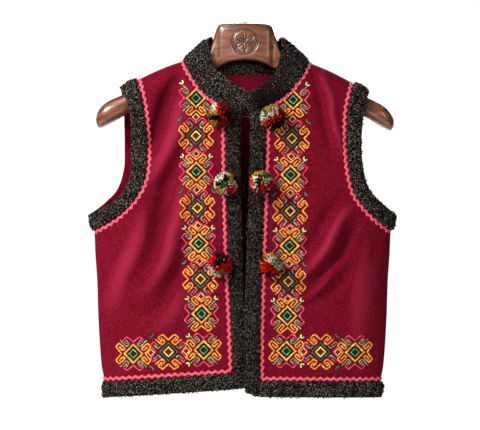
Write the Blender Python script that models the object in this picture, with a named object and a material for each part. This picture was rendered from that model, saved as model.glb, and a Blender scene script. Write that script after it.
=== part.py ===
"""Embroidered folk vest hanging on a contoured wooden hanger.

The vest is three panels of burgundy wool (two fronts and a back), bound with black boucle bands along
the fronts, the hem and the armholes, with a boucle stand collar, wavy coral braid beside each band, and
six wool pompoms down the fronts. Right and left are the wearer's own, so the right front has negative X.

Metres, +Z up, the front faces -Y. The origin is the hook's socket, on top of the hanger. The tables and
the functions that read them are in millimetres, and to_metres turns them at the end.
"""

import math

import bmesh
import bpy
from mathutils import Vector
from mathutils.bvhtree import BVHTree

MM = 0.001

# Driving dimensions, in millimetres.
CLOTH = 2.0             # wool wall
SEAM = 0.2              # half the gap between two panels where they are sewn together
LIFT = 0.3              # gap between a panel and the trim that lies on it
TRIM_INSET = 0.3        # how far a trim's edge stays inside its own strip of the panel
BAND_WIDTH = 24.0       # boucle band along the hem
BAND_EDGE = 3.0         # thickness of a band at its edges
BAND_CROWN = 5.2        # thickness of a band along its middle
BRAID_WIDTH = 7.5       # strip that the wavy braid takes
BRAID_THICKNESS = 1.2
COLLAR_THICKNESS = 4.5
COLLAR_PROUD = 2.0      # how far the collar stands out of the panel it is sewn to
COLLAR_GAP = 0.8
COLLAR_BULGE = 0.8
COLLAR_STEPS = 4
LAP = 3.4               # how far each front moves forwards or back where the left laps over the right
LAP_TOP = -280.0        # the lap grows from here down, over LAP_FADE, and reaches LAP_REACH from the centre
LAP_FADE = 180.0
LAP_REACH = 75.0
POMPOM_CORE = 12.5
LOCK_GAP = 0.55         # bare edge round the root of each lock
LOCK_TURN = -0.12       # locks whose direction points further back than this are left out

# The shoulder seams and the line that joins them over the neck lie on one parabola a side.
SHOULDER_PEAK = -43.0
SHOULDER_FALL = {"right": 14.0, "left": 15.4}       # its fall at NECK_HALF from the centre
NECK_HALF = 92.0
BACK_NECK_LOW = -76.0   # lowest point of the back neckline
CENTRE_BACK = 2.0

# Side seams: height, distance from the vest's own centre line.
VEST_CENTRE = -3.75
SIDE = (
    (-565.0, 205.5),
    (-540.0, 206.5),
    (-512.0, 211.5),
    (-445.0, 216.0),
    (-385.0, 218.0),
    (-350.0, 220.5),
    (-311.0, 222.5),
    (-285.0, 226.5),
    (-200.0, 231.0),
    (-60.0, 236.0),
)

# Depth of the fronts and of the back, measured from the hanger's middle plane: height, depth.
FRONT_DEPTH = ((-565.0, 33.0), (-450.0, 37.0), (-300.0, 41.0), (-200.0, 41.0), (-120.0, 38.0), (-40.0, 36.0))
BACK_DEPTH = ((-565.0, 30.0), (-450.0, 33.0), (-300.0, 36.0), (-180.0, 37.0), (-80.0, 35.0), (-40.0, 33.0))

# Section of the body across its width, and the height over which the shoulders round off.
BODY_SQUARENESS = 2.6
BODY_FULLNESS = 0.55
CURL_AT_NECK = 40.0
CURL_AT_ARM = 26.5
ARM_REACH = 165.0

# Opening edge of each front, from the hem up to the neck: height, trim line, cut edge.
OPENING = {
    "right": (
        (-556.0, 18.0, -2.0),
        (-520.0, 18.0, -2.0),
        (-460.0, 20.0, -1.0),
        (-333.0, 25.5, 4.5),
        (-190.0, 28.5, 6.5),
        (-126.0, 29.0, 5.5),
    ),
    "left": (
        (-560.0, 21.7, 0.2),
        (-520.0, 21.7, 0.0),
        (-460.0, 22.0, -1.3),
        (-333.0, 25.5, 2.7),
        (-190.0, 30.6, 6.9),
        (-126.0, 30.7, 7.5),
    ),
}
CORNER_HEIGHT = -137.0              # top corner of each front, at the opening
HEM_CORNER_RISE = {"right": 3.0, "left": 7.0}
HEM_AT_OPENING = {"right": -548.5, "left": -559.5}
HEM_AT_SIDE = -561.5
BACK_HEM_RISE = 12.0                # the back's hem is this much higher at its middle than at the sides

# Front neckline, from the top of the band to the shoulder: distance from the centre, height. The last
# point lies on the shoulder line.
NECKLINE = {
    "right": ((29.0, -126.0), (45.7, -115.5), (63.0, -103.0), (76.0, -84.5), (85.0, -70.0), (90.0, None)),
    "left": ((30.7, -126.0), (51.7, -114.0), (69.0, -99.5), (84.0, -80.0), (90.5, -68.0), (94.0, None)),
}

# Armholes, from the side seam to the shoulder: cut edge's distance and height, trim line's distance and
# height. The first row lies on the side seam and the last on the shoulder line.
ARMHOLE = {
    ("front", "right"): (
        (230.3, -285.0, 226.2, -311.0),
        (208.5, -276.0, 191.7, -291.0),
        (184.5, -258.0, 162.7, -261.0),
        (170.3, -226.5, 148.5, -229.5),
        (169.0, -187.5, 146.1, -187.5),
        (171.0, -142.5, 149.3, -142.5),
        (176.3, -118.5, 153.8, -114.0),
        (186.0, None, 161.2, None),
    ),
    ("front", "left"): (
        (222.8, -285.0, 218.7, -311.0),
        (205.0, -270.5, 189.0, -287.0),
        (186.0, -250.0, 166.0, -259.0),
        (177.0, -222.0, 156.5, -227.0),
        (173.7, -187.0, 152.3, -187.0),
        (175.5, -150.0, 152.3, -146.0),
        (179.5, -124.0, 155.5, -120.0),
        (184.5, None, 163.0, None),
    ),
    ("back", "right"): (
        (230.3, -285.0, 226.2, -311.0),
        (211.0, -270.0, 195.0, -287.0),
        (192.0, -249.0, 172.0, -257.0),
        (182.5, -219.0, 160.0, -223.0),
        (181.4, -190.0, 158.3, -190.0),
        (181.8, -153.0, 158.4, -150.0),
        (183.0, -125.0, 159.0, -118.0),
        (186.0, None, 161.2, None),
    ),
    ("back", "left"): (
        (222.8, -285.0, 218.7, -311.0),
        (203.5, -270.0, 187.5, -287.0),
        (184.5, -249.0, 164.5, -257.0),
        (173.0, -219.0, 151.0, -223.0),
        (171.0, -190.0, 149.0, -190.0),
        (173.0, -153.0, 150.5, -150.0),
        (177.5, -125.0, 155.5, -120.0),
        (184.5, None, 163.0, None),
    ),
}

# Largest folds: x and height of one end, x and height of the other, half-width, depth (inwards).
FRONT_FOLDS = (
    (-96.0, -66.0, -150.0, -150.0, 13.0, 4.0),
    (-136.0, -105.0, -112.0, -250.0, 15.0, -3.5),
    (-92.0, -150.0, -132.0, -262.0, 12.0, 3.5),
    (-165.0, -380.0, -60.0, -450.0, 18.0, 3.0),
    (-190.0, -440.0, -150.0, -545.0, 18.0, -2.5),
    (118.0, -70.0, 142.0, -150.0, 12.0, 3.5),
    (106.0, -72.0, 136.0, -200.0, 12.0, -3.0),
    (104.0, -160.0, 134.0, -250.0, 13.0, 3.0),
    (150.0, -360.0, 70.0, -465.0, 18.0, 3.0),
    (190.0, -420.0, 160.0, -545.0, 18.0, -2.5),
)
BACK_FOLDS = (
    (-100.0, -75.0, -140.0, -190.0, 14.0, 3.5),
    (104.0, -75.0, 138.0, -180.0, 14.0, 3.5),
    (-70.0, -170.0, -130.0, -330.0, 18.0, 3.0),
    (60.0, -180.0, 120.0, -350.0, 18.0, 3.0),
    (-20.0, -300.0, -60.0, -540.0, 20.0, -3.0),
    (40.0, -320.0, 90.0, -545.0, 20.0, 3.0),
    (-150.0, -400.0, -170.0, -545.0, 18.0, -2.5),
    (160.0, -380.0, 150.0, -545.0, 18.0, -2.5),
)

# Top edge of the collar, from its front end over the shoulder to the centre back: x, y, height.
COLLAR_TOP = {
    "right": (
        (6.0, -31.5, -105.0),
        (-17.0, -31.5, -91.0),
        (-30.0, -30.5, -81.0),
        (-45.7, -25.0, -66.6),
        (-53.5, -14.0, -43.0),
        (-54.0, 1.0, -21.0),
        (-44.0, 18.0, -27.0),
        (-24.0, 25.0, -36.0),
        (CENTRE_BACK, 27.0, -40.0),
    ),
    "left": (
        (-4.2, -44.0, -118.0),
        (9.0, -41.5, -104.0),
        (24.5, -37.0, -94.0),
        (40.0, -31.0, -81.0),
        (52.0, -17.0, -52.0),
        (57.0, 1.0, -22.0),
        (47.0, 18.0, -27.0),
        (27.0, 25.0, -36.0),
        (CENTRE_BACK, 27.0, -40.0),
    ),
}
SHOULDER_POINT = 5                  # the row of COLLAR_TOP that stands over the shoulder seam

# Hanger, from the middle to a tip: distance, top, bottom, half-depth, squareness of the section.
HANGER = (
    (0.0, -0.4, -55.5, 16.0, 6.0),
    (18.0, -0.6, -57.5, 16.0, 6.0),
    (30.0, -1.4, -61.5, 16.0, 6.0),
    (36.5, -2.6, -64.5, 15.6, 5.5),
    (41.0, -6.0, -67.0, 12.8, 4.5),
    (47.0, -23.0, -70.0, 10.8, 3.6),
    (53.0, -41.0, -73.0, 9.8, 3.0),
    (62.0, -57.0, -77.5, 10.5, 2.6),
    (76.0, -62.5, -84.5, 11.5, 2.5),
    (95.0, -62.3, -94.0, 12.5, 2.3),
    (122.0, -70.6, -107.5, 15.0, 2.4),
    (150.0, -83.2, -121.5, 17.5, 2.4),
    (168.0, -97.0, -131.5, 19.3, 2.5),
    (182.0, -107.0, -139.5, 20.0, 2.5),
    (203.0, -116.5, -151.0, 20.0, 2.5),
    (212.5, -123.0, -155.5, 18.5, 2.4),
    (218.5, -130.0, -157.0, 15.0, 2.3),
    (221.8, -137.0, -152.5, 9.5, 2.1),
    (223.0, -142.0, -148.5, 4.5, 2.0),
)
HANGER_RING = 16                    # points round each section
# The left arm sits lower: distance, drop.
LEFT_DROP = (
    (60.0, 0.0), (95.0, 2.0), (122.0, 3.6), (150.0, 5.2), (168.0, 4.2), (182.0, 2.4), (203.0, 3.2), (223.0, 4.0),
)

SOCKET_RADIUS = 3.0
SOCKET_HEIGHT = 1.5
SOCKET_BORE = 1.4

# Pompoms: name, x, height, radius.
POMPOMS = (
    ("pompom_right_top", -35.0, -139.0, 19.0),
    ("pompom_left_top", 43.5, -144.0, 19.5),
    ("pompom_right_middle", -30.0, -241.5, 18.0),
    ("pompom_left_middle", 25.5, -241.5, 18.0),
    ("pompom_right_lower", -37.5, -361.5, 18.5),
    ("pompom_left_lower", 40.5, -361.5, 18.0),
)

# Hook and eye that close the neck: a wire across the gap between the bands.
HOOK_HEIGHT = -142.0
HOOK_WIRE = 1.1
HOOK_REACH = 9.5        # half of its length
HOOK_BOW = 1.0
HOOK_STEPS = 6

SIGN = {"right": -1.0, "left": 1.0}

# Grid of a panel. Each tuple holds distances from an edge, in millimetres.
HEM_ROWS = (0.0, 6.0, 18.0, BAND_WIDTH, BAND_WIDTH + BRAID_WIDTH)
LOWER_ROWS = 7                      # rows between the hem's braid and the armhole
TOP_ROWS = (0.0, 2.5, BRAID_WIDTH, 16.0, 28.0, 45.0, 66.0, 90.0, 115.0, 141.0, 167.0, 192.0, 215.0, 233.0, 246.0)
ARMHOLE_LENGTH = 255.0              # TOP_ROWS are for a trim line of this length, and stretch to fit others
NECK_ROWS = (0.0, 2.5, BRAID_WIDTH, 16.0, 30.0, 50.0, 75.0)
EDGE_COLUMNS = (0.0, 2.5, BRAID_WIDTH, 18.0)
BAND_STEPS = (0.25, 0.75, 1.0)      # lines across a band, as parts of its width
FRONT_MIDDLE = 5                    # lines between the braid and the side's own columns
BACK_NECK_CELLS = 8
BACK_SHOULDER_CELLS = 3 + len(EDGE_COLUMNS) - 1     # from the neck's end to the armhole's trim line

HEM_LINE = 3                        # row that is the hem band's upper edge
SIDE_TOP = len(HEM_ROWS) - 1 + LOWER_ROWS       # row that ends on the side seam under the armhole
LAST_ROW = SIDE_TOP + len(TOP_ROWS)
CORNER_ROW = LAST_ROW - len(NECK_ROWS)          # row that ends on the band's upper end
BAND_CELLS = len(BAND_STEPS)
FRONT_MAIN = 1 + FRONT_MIDDLE + len(EDGE_COLUMNS) - 1 + 1   # cells from the opening's trim line to the side's


# ---------------------------------------------------------------------------------------------------
# Curves and surfaces of the vest


def between(low, high, part):
    return low + (high - low) * part


def ease(part):
    part = min(max(part, 0.0), 1.0)
    return part * part * (3.0 - 2.0 * part)


def read_table(table, key, column=1):
    """One column of a table at key, which its first column holds in rising order, as a smooth curve."""
    rows = len(table)
    i = 0
    while i < rows - 2 and key > table[i + 1][0]:
        i += 1

    def slope(j):
        a, b = table[max(j - 1, 0)], table[min(j + 1, rows - 1)]
        return (b[column] - a[column]) / (b[0] - a[0])

    start, end = table[i], table[i + 1]
    span = end[0] - start[0]
    t = min(max((key - start[0]) / span, 0.0), 1.0)
    rise = end[column] - start[column]
    first, second = slope(i) * span, slope(i + 1) * span
    return (
        start[column]
        + first * t
        + (3.0 * rise - 2.0 * first - second) * t * t
        + (first + second - 2.0 * rise) * t * t * t
    )


def smooth_line(points, steps=12):
    """Close points along a Catmull-Rom curve through the given ones."""
    line = []
    last = len(points) - 1
    for i in range(last):
        before, start = points[max(i - 1, 0)], points[i]
        end, after = points[i + 1], points[min(i + 2, last)]
        for step in range(steps):
            t = step / steps
            line.append(
                0.5
                * (
                    2.0 * start
                    + (end - before) * t
                    + (2.0 * before - 5.0 * start + 4.0 * end - after) * t * t
                    + (3.0 * start - before - 3.0 * end + after) * t * t * t
                )
            )
    line.append(points[-1].copy())
    return line


def line_length(line):
    return sum((b - a).length for a, b in zip(line, line[1:]))


def point_along(line, distance):
    """The point at a distance from the start of a line, measured along it."""
    for a, b in zip(line, line[1:]):
        step = (b - a).length
        if distance <= step:
            return a.lerp(b, distance / step)
        distance -= step
    return line[-1].copy()


def down_from_top(total, distance):
    """A distance of TOP_ROWS, stretched for a trim line of another length. The top ones stay as they are."""
    return distance * between(1.0, total / ARMHOLE_LENGTH, ease(distance / 100.0))


def slant(line, distance):
    """How much wider a level cut through a strip beside a line is than the strip itself."""
    way = point_along(line, distance + 4.0) - point_along(line, distance - 4.0)
    return min(way.length / abs(way.y), 2.2)


def shoulder_height(x):
    side = "left" if x > 0.0 else "right"
    return SHOULDER_PEAK - SHOULDER_FALL[side] * (x / NECK_HALF) ** 2


def side_x(side, height):
    return VEST_CENTRE + SIGN[side] * read_table(SIDE, height)


def fold_depth(folds, x, z):
    total = 0.0
    for x0, z0, x1, z1, half_width, depth in folds:
        along = Vector((x1 - x0, z1 - z0))
        offset = Vector((x - x0, z - z0))
        part = offset.dot(along) / along.length_squared
        if 0.0 < part < 1.0:
            across = offset.cross(along) / along.length
            total += depth * math.sin(math.pi * part) ** 1.5 * math.exp(-((across / half_width) ** 2))
    return total


def roundness(x, z):
    """How much of the full depth the cloth has: none at a side or shoulder seam, all of it in the middle."""
    out = min(abs(x - VEST_CENTRE) / read_table(SIDE, z), 1.0)
    across = (1.0 - out**BODY_SQUARENESS) ** BODY_FULLNESS
    curl = between(CURL_AT_NECK, CURL_AT_ARM, min((x / ARM_REACH) ** 2, 1.0))
    down = min(max((shoulder_height(x) - z) / curl, 0.0), 1.0)
    return across * math.sqrt(1.0 - (1.0 - down) ** 2)


def front_y(side, x, z):
    rounded = roundness(x, z)
    depth = read_table(FRONT_DEPTH, z) - fold_depth(FRONT_FOLDS, x, z)
    closing = ease((LAP_TOP - z) / LAP_FADE) * ease(1.0 - abs(x) / LAP_REACH)
    return -SEAM - depth * rounded - SIGN[side] * LAP * closing


def back_y(x, z):
    depth = read_table(BACK_DEPTH, z) - fold_depth(BACK_FOLDS, x, z)
    return SEAM + depth * roundness(x, z)


def armhole_lines(face, side):
    """The cut edge and the trim line of one armhole in a panel, from the side seam to the shoulder."""
    edge, trim = [], []
    for edge_x, edge_z, trim_x, trim_z in ARMHOLE[face, side]:
        for line, x, z in ((edge, edge_x, edge_z), (trim, trim_x, trim_z)):
            x *= SIGN[side]
            line.append(Vector((x, shoulder_height(x) if z is None else z)))
    for line in (edge, trim):
        line[0].x = side_x(side, line[0].y)
    return smooth_line(edge), smooth_line(trim)


def neck_line(side):
    points = []
    for x, z in NECKLINE[side]:
        x *= SIGN[side]
        points.append(Vector((x, shoulder_height(x) if z is None else z)))
    return smooth_line(points)


def back_neck_height(x):
    end = SIGN["left" if x > CENTRE_BACK else "right"] * NECKLINE["left" if x > CENTRE_BACK else "right"][-1][0]
    part = (x - CENTRE_BACK) / (end - CENTRE_BACK)
    return between(BACK_NECK_LOW, shoulder_height(end), abs(part) ** 3)


def side_rows(hem):
    """Heights of the rows that end on a side seam or on the opening, from the hem up to the armhole."""
    heights = [hem + rise for rise in HEM_ROWS]
    start = heights[-1]
    for i in range(1, LOWER_ROWS + 1):
        heights.append(between(start, ARMHOLE["front", "right"][0][3], i / LOWER_ROWS))
    return heights


# ---------------------------------------------------------------------------------------------------
# Points of the panels


def front_points(side):
    """Rows of (x, z, on a seam), with None where a front has no cloth, and the first main column."""
    sign = SIGN[side]
    edge, trim = armhole_lines("front", side)
    neck = neck_line(side)
    trim_total, neck_total = line_length(trim), line_length(neck)
    at_side, at_opening = side_rows(HEM_AT_SIDE), side_rows(HEM_AT_OPENING[side])
    rows = []
    for row in range(LAST_ROW + 1):
        from_top = LAST_ROW - row
        down = down_from_top(trim_total, TOP_ROWS[from_top]) if row > SIDE_TOP else trim_total
        wider = 1.0
        if row <= SIDE_TOP:
            outer = Vector((side_x(side, at_side[row]), at_side[row]))
        else:
            outer = point_along(trim, trim_total - down)
        if row >= SIDE_TOP:
            wider = slant(trim, trim_total - down)
        edge_distances = [width_part * wider for width_part in EDGE_COLUMNS]
        if row < CORNER_ROW:
            low, high = at_opening[SIDE_TOP], OPENING[side][-1][0]
            if row <= SIDE_TOP:
                z = at_opening[row]
            else:
                z = between(low, high, (row - SIDE_TOP) / (CORNER_ROW - SIDE_TOP))
            inner = Vector((sign * read_table(OPENING[side], z), z))
        elif row == CORNER_ROW:
            inner = neck[0].copy()
        else:
            inner = point_along(neck, neck_total - NECK_ROWS[from_top])
        points = []
        if row <= CORNER_ROW:
            z = CORNER_HEIGHT if row == CORNER_ROW else inner.y
            if row < HEM_LINE:
                z += HEM_CORNER_RISE[side] * (1.0 - HEM_ROWS[row] / HEM_ROWS[HEM_LINE])
            cut = Vector((sign * read_table(OPENING[side], inner.y, 2), z))
            for step in reversed(BAND_STEPS):
                place = inner.lerp(cut, step)
                points.append((place.x, place.y, False))
        else:
            points += [None] * BAND_CELLS
        width = abs(outer.x - inner.x)
        middle = [
            between(BRAID_WIDTH, width - edge_distances[-1], i / (FRONT_MIDDLE + 1))
            for i in range(FRONT_MIDDLE + 1)
        ]
        distances = [0.0] + middle + [width - d for d in reversed(edge_distances)]
        bow = ease(1.0 - down / 130.0)
        chord = [shoulder_height(inner.x), shoulder_height(outer.x)]
        for d in distances:
            part = d / width
            x = between(inner.x, outer.x, part)
            z = between(inner.y, outer.y, part)
            z += bow * (shoulder_height(x) - between(*chord, part))
            seam = row == LAST_ROW or (row <= SIDE_TOP and d == width)
            points.append((x, z, seam))
        if row >= SIDE_TOP:
            cut = point_along(edge, line_length(edge) * (1.0 - down / trim_total))
            for step in BAND_STEPS:
                place = outer.lerp(cut, step)
                points.append((place.x, place.y, row in (SIDE_TOP, LAST_ROW)))
        else:
            points += [None] * BAND_CELLS
        rows.append(points)
    return rows


def back_points():
    """Rows of (x, z, on a seam) of the back, from the right armhole to the left one."""
    sides = {}
    for side in ("right", "left"):
        edge, trim = armhole_lines("back", side)
        sides[side] = (edge, trim, line_length(edge), line_length(trim))
    at_side = side_rows(HEM_AT_SIDE)
    rows = []

    def hem_rise(x, row):
        """How much higher than at the side seams a row lies at this distance: less the higher up it is."""
        if row > SIDE_TOP:
            return 0.0
        out = (x - VEST_CENTRE) / read_table(SIDE, at_side[row])
        up = (at_side[row] - at_side[0]) / (at_side[SIDE_TOP] - at_side[0])
        return BACK_HEM_RISE * (1.0 - out**2) * (1.0 - up)

    for row in range(LAST_ROW + 1):
        from_top = LAST_ROW - row
        halves = {}
        for side in ("right", "left"):
            edge, trim, edge_total, trim_total = sides[side]
            wider = 1.0
            if row <= SIDE_TOP:
                outer = Vector((side_x(side, at_side[row]), at_side[row]))
                down = trim_total
            else:
                down = down_from_top(trim_total, TOP_ROWS[from_top])
                outer = point_along(trim, trim_total - down)
            hang = ease(1.2 - down / 150.0)
            if row >= SIDE_TOP:
                wider = slant(trim, trim_total - down)
            edge_distances = [d * wider for d in EDGE_COLUMNS]
            neck_x = SIGN[side] * NECKLINE[side][-1][0]
            outward = outer.x - neck_x
            middle = between(BRAID_WIDTH, abs(outward) - edge_distances[-1], 0.5)
            parts = [d / abs(outward) for d in (0.0, BRAID_WIDTH, middle)]
            parts += [1.0 - d / abs(outward) for d in reversed(edge_distances)]
            half = []
            for part in parts:
                x = neck_x + outward * part
                fall = shoulder_height(outer.x) - outer.y
                z = between(outer.y, shoulder_height(x) - fall, hang) + hem_rise(x, row)
                half.append((x, z, row == LAST_ROW or (row <= SIDE_TOP and part == 1.0)))
            if row >= SIDE_TOP:
                cut = point_along(edge, edge_total * (1.0 - down / trim_total))
                for step in BAND_STEPS:
                    place = outer.lerp(cut, step)
                    half.append((place.x, place.y, row in (SIDE_TOP, LAST_ROW)))
            else:
                half += [None] * BAND_CELLS
            halves[side] = (half, outer.y, hang, shoulder_height(outer.x) - outer.y)
        left_neck, right_neck = NECKLINE["left"][-1][0], -NECKLINE["right"][-1][0]
        middle = []
        for i in range(1, BACK_NECK_CELLS):
            part = math.sin(math.pi / 2.0 * i / BACK_NECK_CELLS) ** 2
            x = between(right_neck, left_neck, part)
            level = between(halves["right"][1], halves["left"][1], part)
            fall = between(halves["right"][3], halves["left"][3], part)
            z = between(level, back_neck_height(x) - fall, halves["left"][2]) + hem_rise(x, row)
            middle.append((x, z, False))
        rows.append(list(reversed(halves["right"][0])) + middle + halves["left"][0])
    return rows


# ---------------------------------------------------------------------------------------------------
# Building cloth


def new_object(name, mesh, material):
    mesh.materials.append(material)
    obj = bpy.data.objects.new(name, mesh)
    vest.objects.link(obj)
    return obj


def finish(name, bm, material):
    """Turns a bmesh in millimetres into a smooth-shaded object in metres."""
    bmesh.ops.scale(bm, vec=(MM, MM, MM), verts=bm.verts)
    bmesh.ops.recalc_face_normals(bm, faces=bm.faces)
    mesh = bpy.data.meshes.new(name)
    bm.to_mesh(mesh)
    bm.free()
    mesh.shade_smooth()
    mesh.set_sharp_from_angle(angle=math.radians(50))
    return new_object(name, mesh, material)


def surface(rows, depth):
    """An open sheet of triangles through rows of points. Each point keeps its row, column and outward way."""
    columns = len(rows[0])
    bm = bmesh.new()
    bmesh.ops.create_grid(bm, x_segments=columns - 1, y_segments=len(rows) - 1, size=1.0)
    row_of = bm.verts.layers.int.new("row")
    column_of = bm.verts.layers.int.new("column")
    outward = bm.verts.layers.float_vector.new("outward")
    cell_row = bm.faces.layers.int.new("row")
    cell_column = bm.faces.layers.int.new("column")
    missing = []
    seams = []
    for i, vertex in enumerate(bm.verts):
        row, column = divmod(i, columns)
        vertex[row_of], vertex[column_of] = row, column
        if rows[row][column] is None:
            missing.append(vertex)
            continue
        x, z, seam = rows[row][column]
        y = depth(x, z)
        if seam:
            y = math.copysign(SEAM, y)
            seams.append(vertex)
        vertex.co = (x, y, z)
    for face in bm.faces:
        face[cell_row] = min(v[row_of] for v in face.verts)
        face[cell_column] = min(v[column_of] for v in face.verts)
    seams = {(v[row_of], v[column_of]) for v in seams}
    bmesh.ops.delete(bm, geom=missing, context="VERTS")
    bmesh.ops.triangulate(bm, faces=bm.faces, quad_method="FIXED")
    if sum(f.normal.y * f.calc_area() for f in bm.faces) * depth(0.0, -300.0) < 0.0:
        bmesh.ops.reverse_faces(bm, faces=bm.faces)
    bm.normal_update()
    for vertex in bm.verts:
        way = vertex.normal.copy()
        if (vertex[row_of], vertex[column_of]) in seams:
            way.y = 0.0
            way.normalize()
        vertex[outward] = way
    return bm


def thicken(bm, outward, rise):
    """Closes a sheet into a wall: a second sheet rise(vertex) away along each vertex's outward way."""
    kept = set(bm.verts)
    bmesh.ops.extrude_face_region(bm, geom=list(bm.faces), use_keep_orig=True)
    for vertex in bm.verts:
        if vertex not in kept:
            vertex.co += Vector(vertex[outward]) * rise(vertex)


def draw_in(bm, distance):
    """Moves the sheet's border inwards, along the sheet."""
    tree = BVHTree.FromBMesh(bm)
    moves = {}
    for edge in bm.edges:
        if not edge.is_boundary:
            continue
        along = (edge.verts[1].co - edge.verts[0].co).normalized()
        inside = edge.link_faces[0].calc_center_median() - edge.verts[0].co
        inside = (inside - along * inside.dot(along)).normalized()
        for vertex in edge.verts:
            moves.setdefault(vertex, []).append(inside)
    for vertex, ways in moves.items():
        total = sum(ways, Vector())
        if total.length > 0.2:
            mitre = min(len(ways) / total.length, 1.6)
            vertex.co = tree.find_nearest(vertex.co + total.normalized() * distance * mitre)[0]


def wall(name, sheet, material, thickness=CLOTH):
    """A panel: the sheet is its outer face, and the cloth lies behind it."""
    bm = sheet.copy()
    thicken(bm, bm.verts.layers.float_vector["outward"], lambda vertex: -thickness)
    return finish(name, bm, material)


def trim(name, sheet, material, cells, rise):
    """A strip that lies on a panel: the panel's own cells, lifted off it and thickened outwards."""
    bm = sheet.copy()
    row_of, column_of = bm.faces.layers.int["row"], bm.faces.layers.int["column"]
    outward = bm.verts.layers.float_vector["outward"]
    others = [f for f in bm.faces if not cells(f[row_of], f[column_of])]
    bmesh.ops.delete(bm, geom=others, context="FACES")
    draw_in(bm, TRIM_INSET)
    for vertex in bm.verts:
        vertex.co += Vector(vertex[outward]) * LIFT
    row_of, column_of = bm.verts.layers.int["row"], bm.verts.layers.int["column"]
    thicken(bm, outward, lambda vertex: rise(vertex[row_of], vertex[column_of]))
    return finish(name, bm, material)


def crowned(line, low, high):
    """Thickness of a band, which is thin on its two edge lines and full on the lines between them."""
    return BAND_EDGE if line in (low, high) else BAND_CROWN


def flat(row, column):
    return BRAID_THICKNESS


# ---------------------------------------------------------------------------------------------------
# Pieces


def cloth_material(name, colour, roughness, metallic=0.0):
    material = bpy.data.materials.new(name)
    material.use_nodes = True
    shader = material.node_tree.nodes["Principled BSDF"]
    shader.inputs["Base Color"].default_value = (*colour, 1.0)
    shader.inputs["Roughness"].default_value = roughness
    shader.inputs["Metallic"].default_value = metallic
    return material


def build_front(side):
    """One front of wool, with its boucle bands and its braid. Returns its sheet."""
    rows = front_points(side)
    sheet = surface(rows, lambda x, z: front_y(side, x, z))
    first, last = BAND_CELLS, BAND_CELLS + FRONT_MAIN
    wall(f"front_panel_{side}", sheet, wool)
    trim(
        f"front_band_{side}", sheet, boucle,
        lambda row, column: column < first,
        lambda row, column: crowned(column, 0, first),
    )
    trim(
        f"hem_band_{side}", sheet, boucle,
        lambda row, column: row < HEM_LINE and column >= first,
        lambda row, column: crowned(row, 0, HEM_LINE),
    )
    trim(
        f"armhole_band_{side}_front", sheet, boucle,
        lambda row, column: column >= last,
        lambda row, column: crowned(column, last, last + BAND_CELLS),
    )
    trim(
        f"braid_{side}_front", sheet, braid,
        lambda row, column: (row >= HEM_LINE and column == first) or (row == HEM_LINE and first < column < last),
        flat,
    )
    trim(
        f"braid_{side}_armhole", sheet, braid,
        lambda row, column: row >= SIDE_TOP and last - 2 <= column < last,
        flat,
    )
    return sheet


def build_back():
    """The back of wool, cut in one, with its boucle bands and its braid. Returns its sheet."""
    sheet = surface(back_points(), back_y)
    first = BAND_CELLS
    neck = (first + BACK_SHOULDER_CELLS, first + BACK_SHOULDER_CELLS + BACK_NECK_CELLS)
    last = neck[1] + BACK_SHOULDER_CELLS
    wall("back_panel", sheet, wool)
    trim(
        "hem_band_back", sheet, boucle,
        lambda row, column: row < HEM_LINE,
        lambda row, column: crowned(row, 0, HEM_LINE),
    )
    trim(
        "armhole_band_right_back", sheet, boucle,
        lambda row, column: column < first,
        lambda row, column: crowned(column, 0, first),
    )
    trim(
        "armhole_band_left_back", sheet, boucle,
        lambda row, column: column >= last,
        lambda row, column: crowned(column, last, last + BAND_CELLS),
    )
    trim("braid_back_hem", sheet, braid, lambda row, column: row == HEM_LINE, flat)
    trim(
        "braid_back_neck", sheet, braid,
        lambda row, column: row >= LAST_ROW - 2 and neck[0] - 1 <= column < neck[1] + 1,
        flat,
    )
    trim(
        "braid_right_back_armhole", sheet, braid,
        lambda row, column: row >= SIDE_TOP and first <= column < first + 2,
        flat,
    )
    trim(
        "braid_left_back_armhole", sheet, braid,
        lambda row, column: row >= SIDE_TOP and last - 2 <= column < last,
        flat,
    )
    return sheet


def edge_points(sheet, places):
    """Points of a sheet's border, with their outward way, in the order of places (row, column)."""
    row_of, column_of = sheet.verts.layers.int["row"], sheet.verts.layers.int["column"]
    outward = sheet.verts.layers.float_vector["outward"]
    found = {(v[row_of], v[column_of]): v for v in sheet.verts}
    return [(found[place].co.copy(), Vector(found[place][outward])) for place in places]


def collar_columns(side, front, back):
    """Half of the collar, from its front end to the centre back: its foot, the way out there and its top."""
    base = edge_points(front, [(CORNER_ROW, column) for column in range(BAND_CELLS)])
    base += edge_points(front, [(row, BAND_CELLS) for row in range(CORNER_ROW, LAST_ROW)])
    shoulder = len(base)
    point, way = edge_points(front, [(LAST_ROW, BAND_CELLS)])[0]
    base.append((Vector((point.x, 0.0, point.z)), way))
    right_neck = BAND_CELLS + BACK_SHOULDER_CELLS
    centre = right_neck + BACK_NECK_CELLS // 2
    if side == "right":
        columns = range(right_neck + 1, centre + 1)
    else:
        columns = range(right_neck + BACK_NECK_CELLS - 1, centre - 1, -1)
    base += edge_points(back, [(LAST_ROW, column) for column in columns])

    top = smooth_line([Vector(row) for row in COLLAR_TOP[side]])
    turn = SHOULDER_POINT * 12
    feet = [point for point, _ in base]
    heads = []
    for run, span in ((top[: turn + 1], feet[: shoulder + 1]), (top[turn:], feet[shoulder:])):
        scale = line_length(run) / line_length(span)
        done = 0.0
        for one, two in zip(span, span[1:]):
            heads.append(point_along(run, done * scale))
            done += (two - one).length
    heads.append(top[-1])
    return [(foot, way, head) for (foot, way), head in zip(base, heads)]


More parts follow.
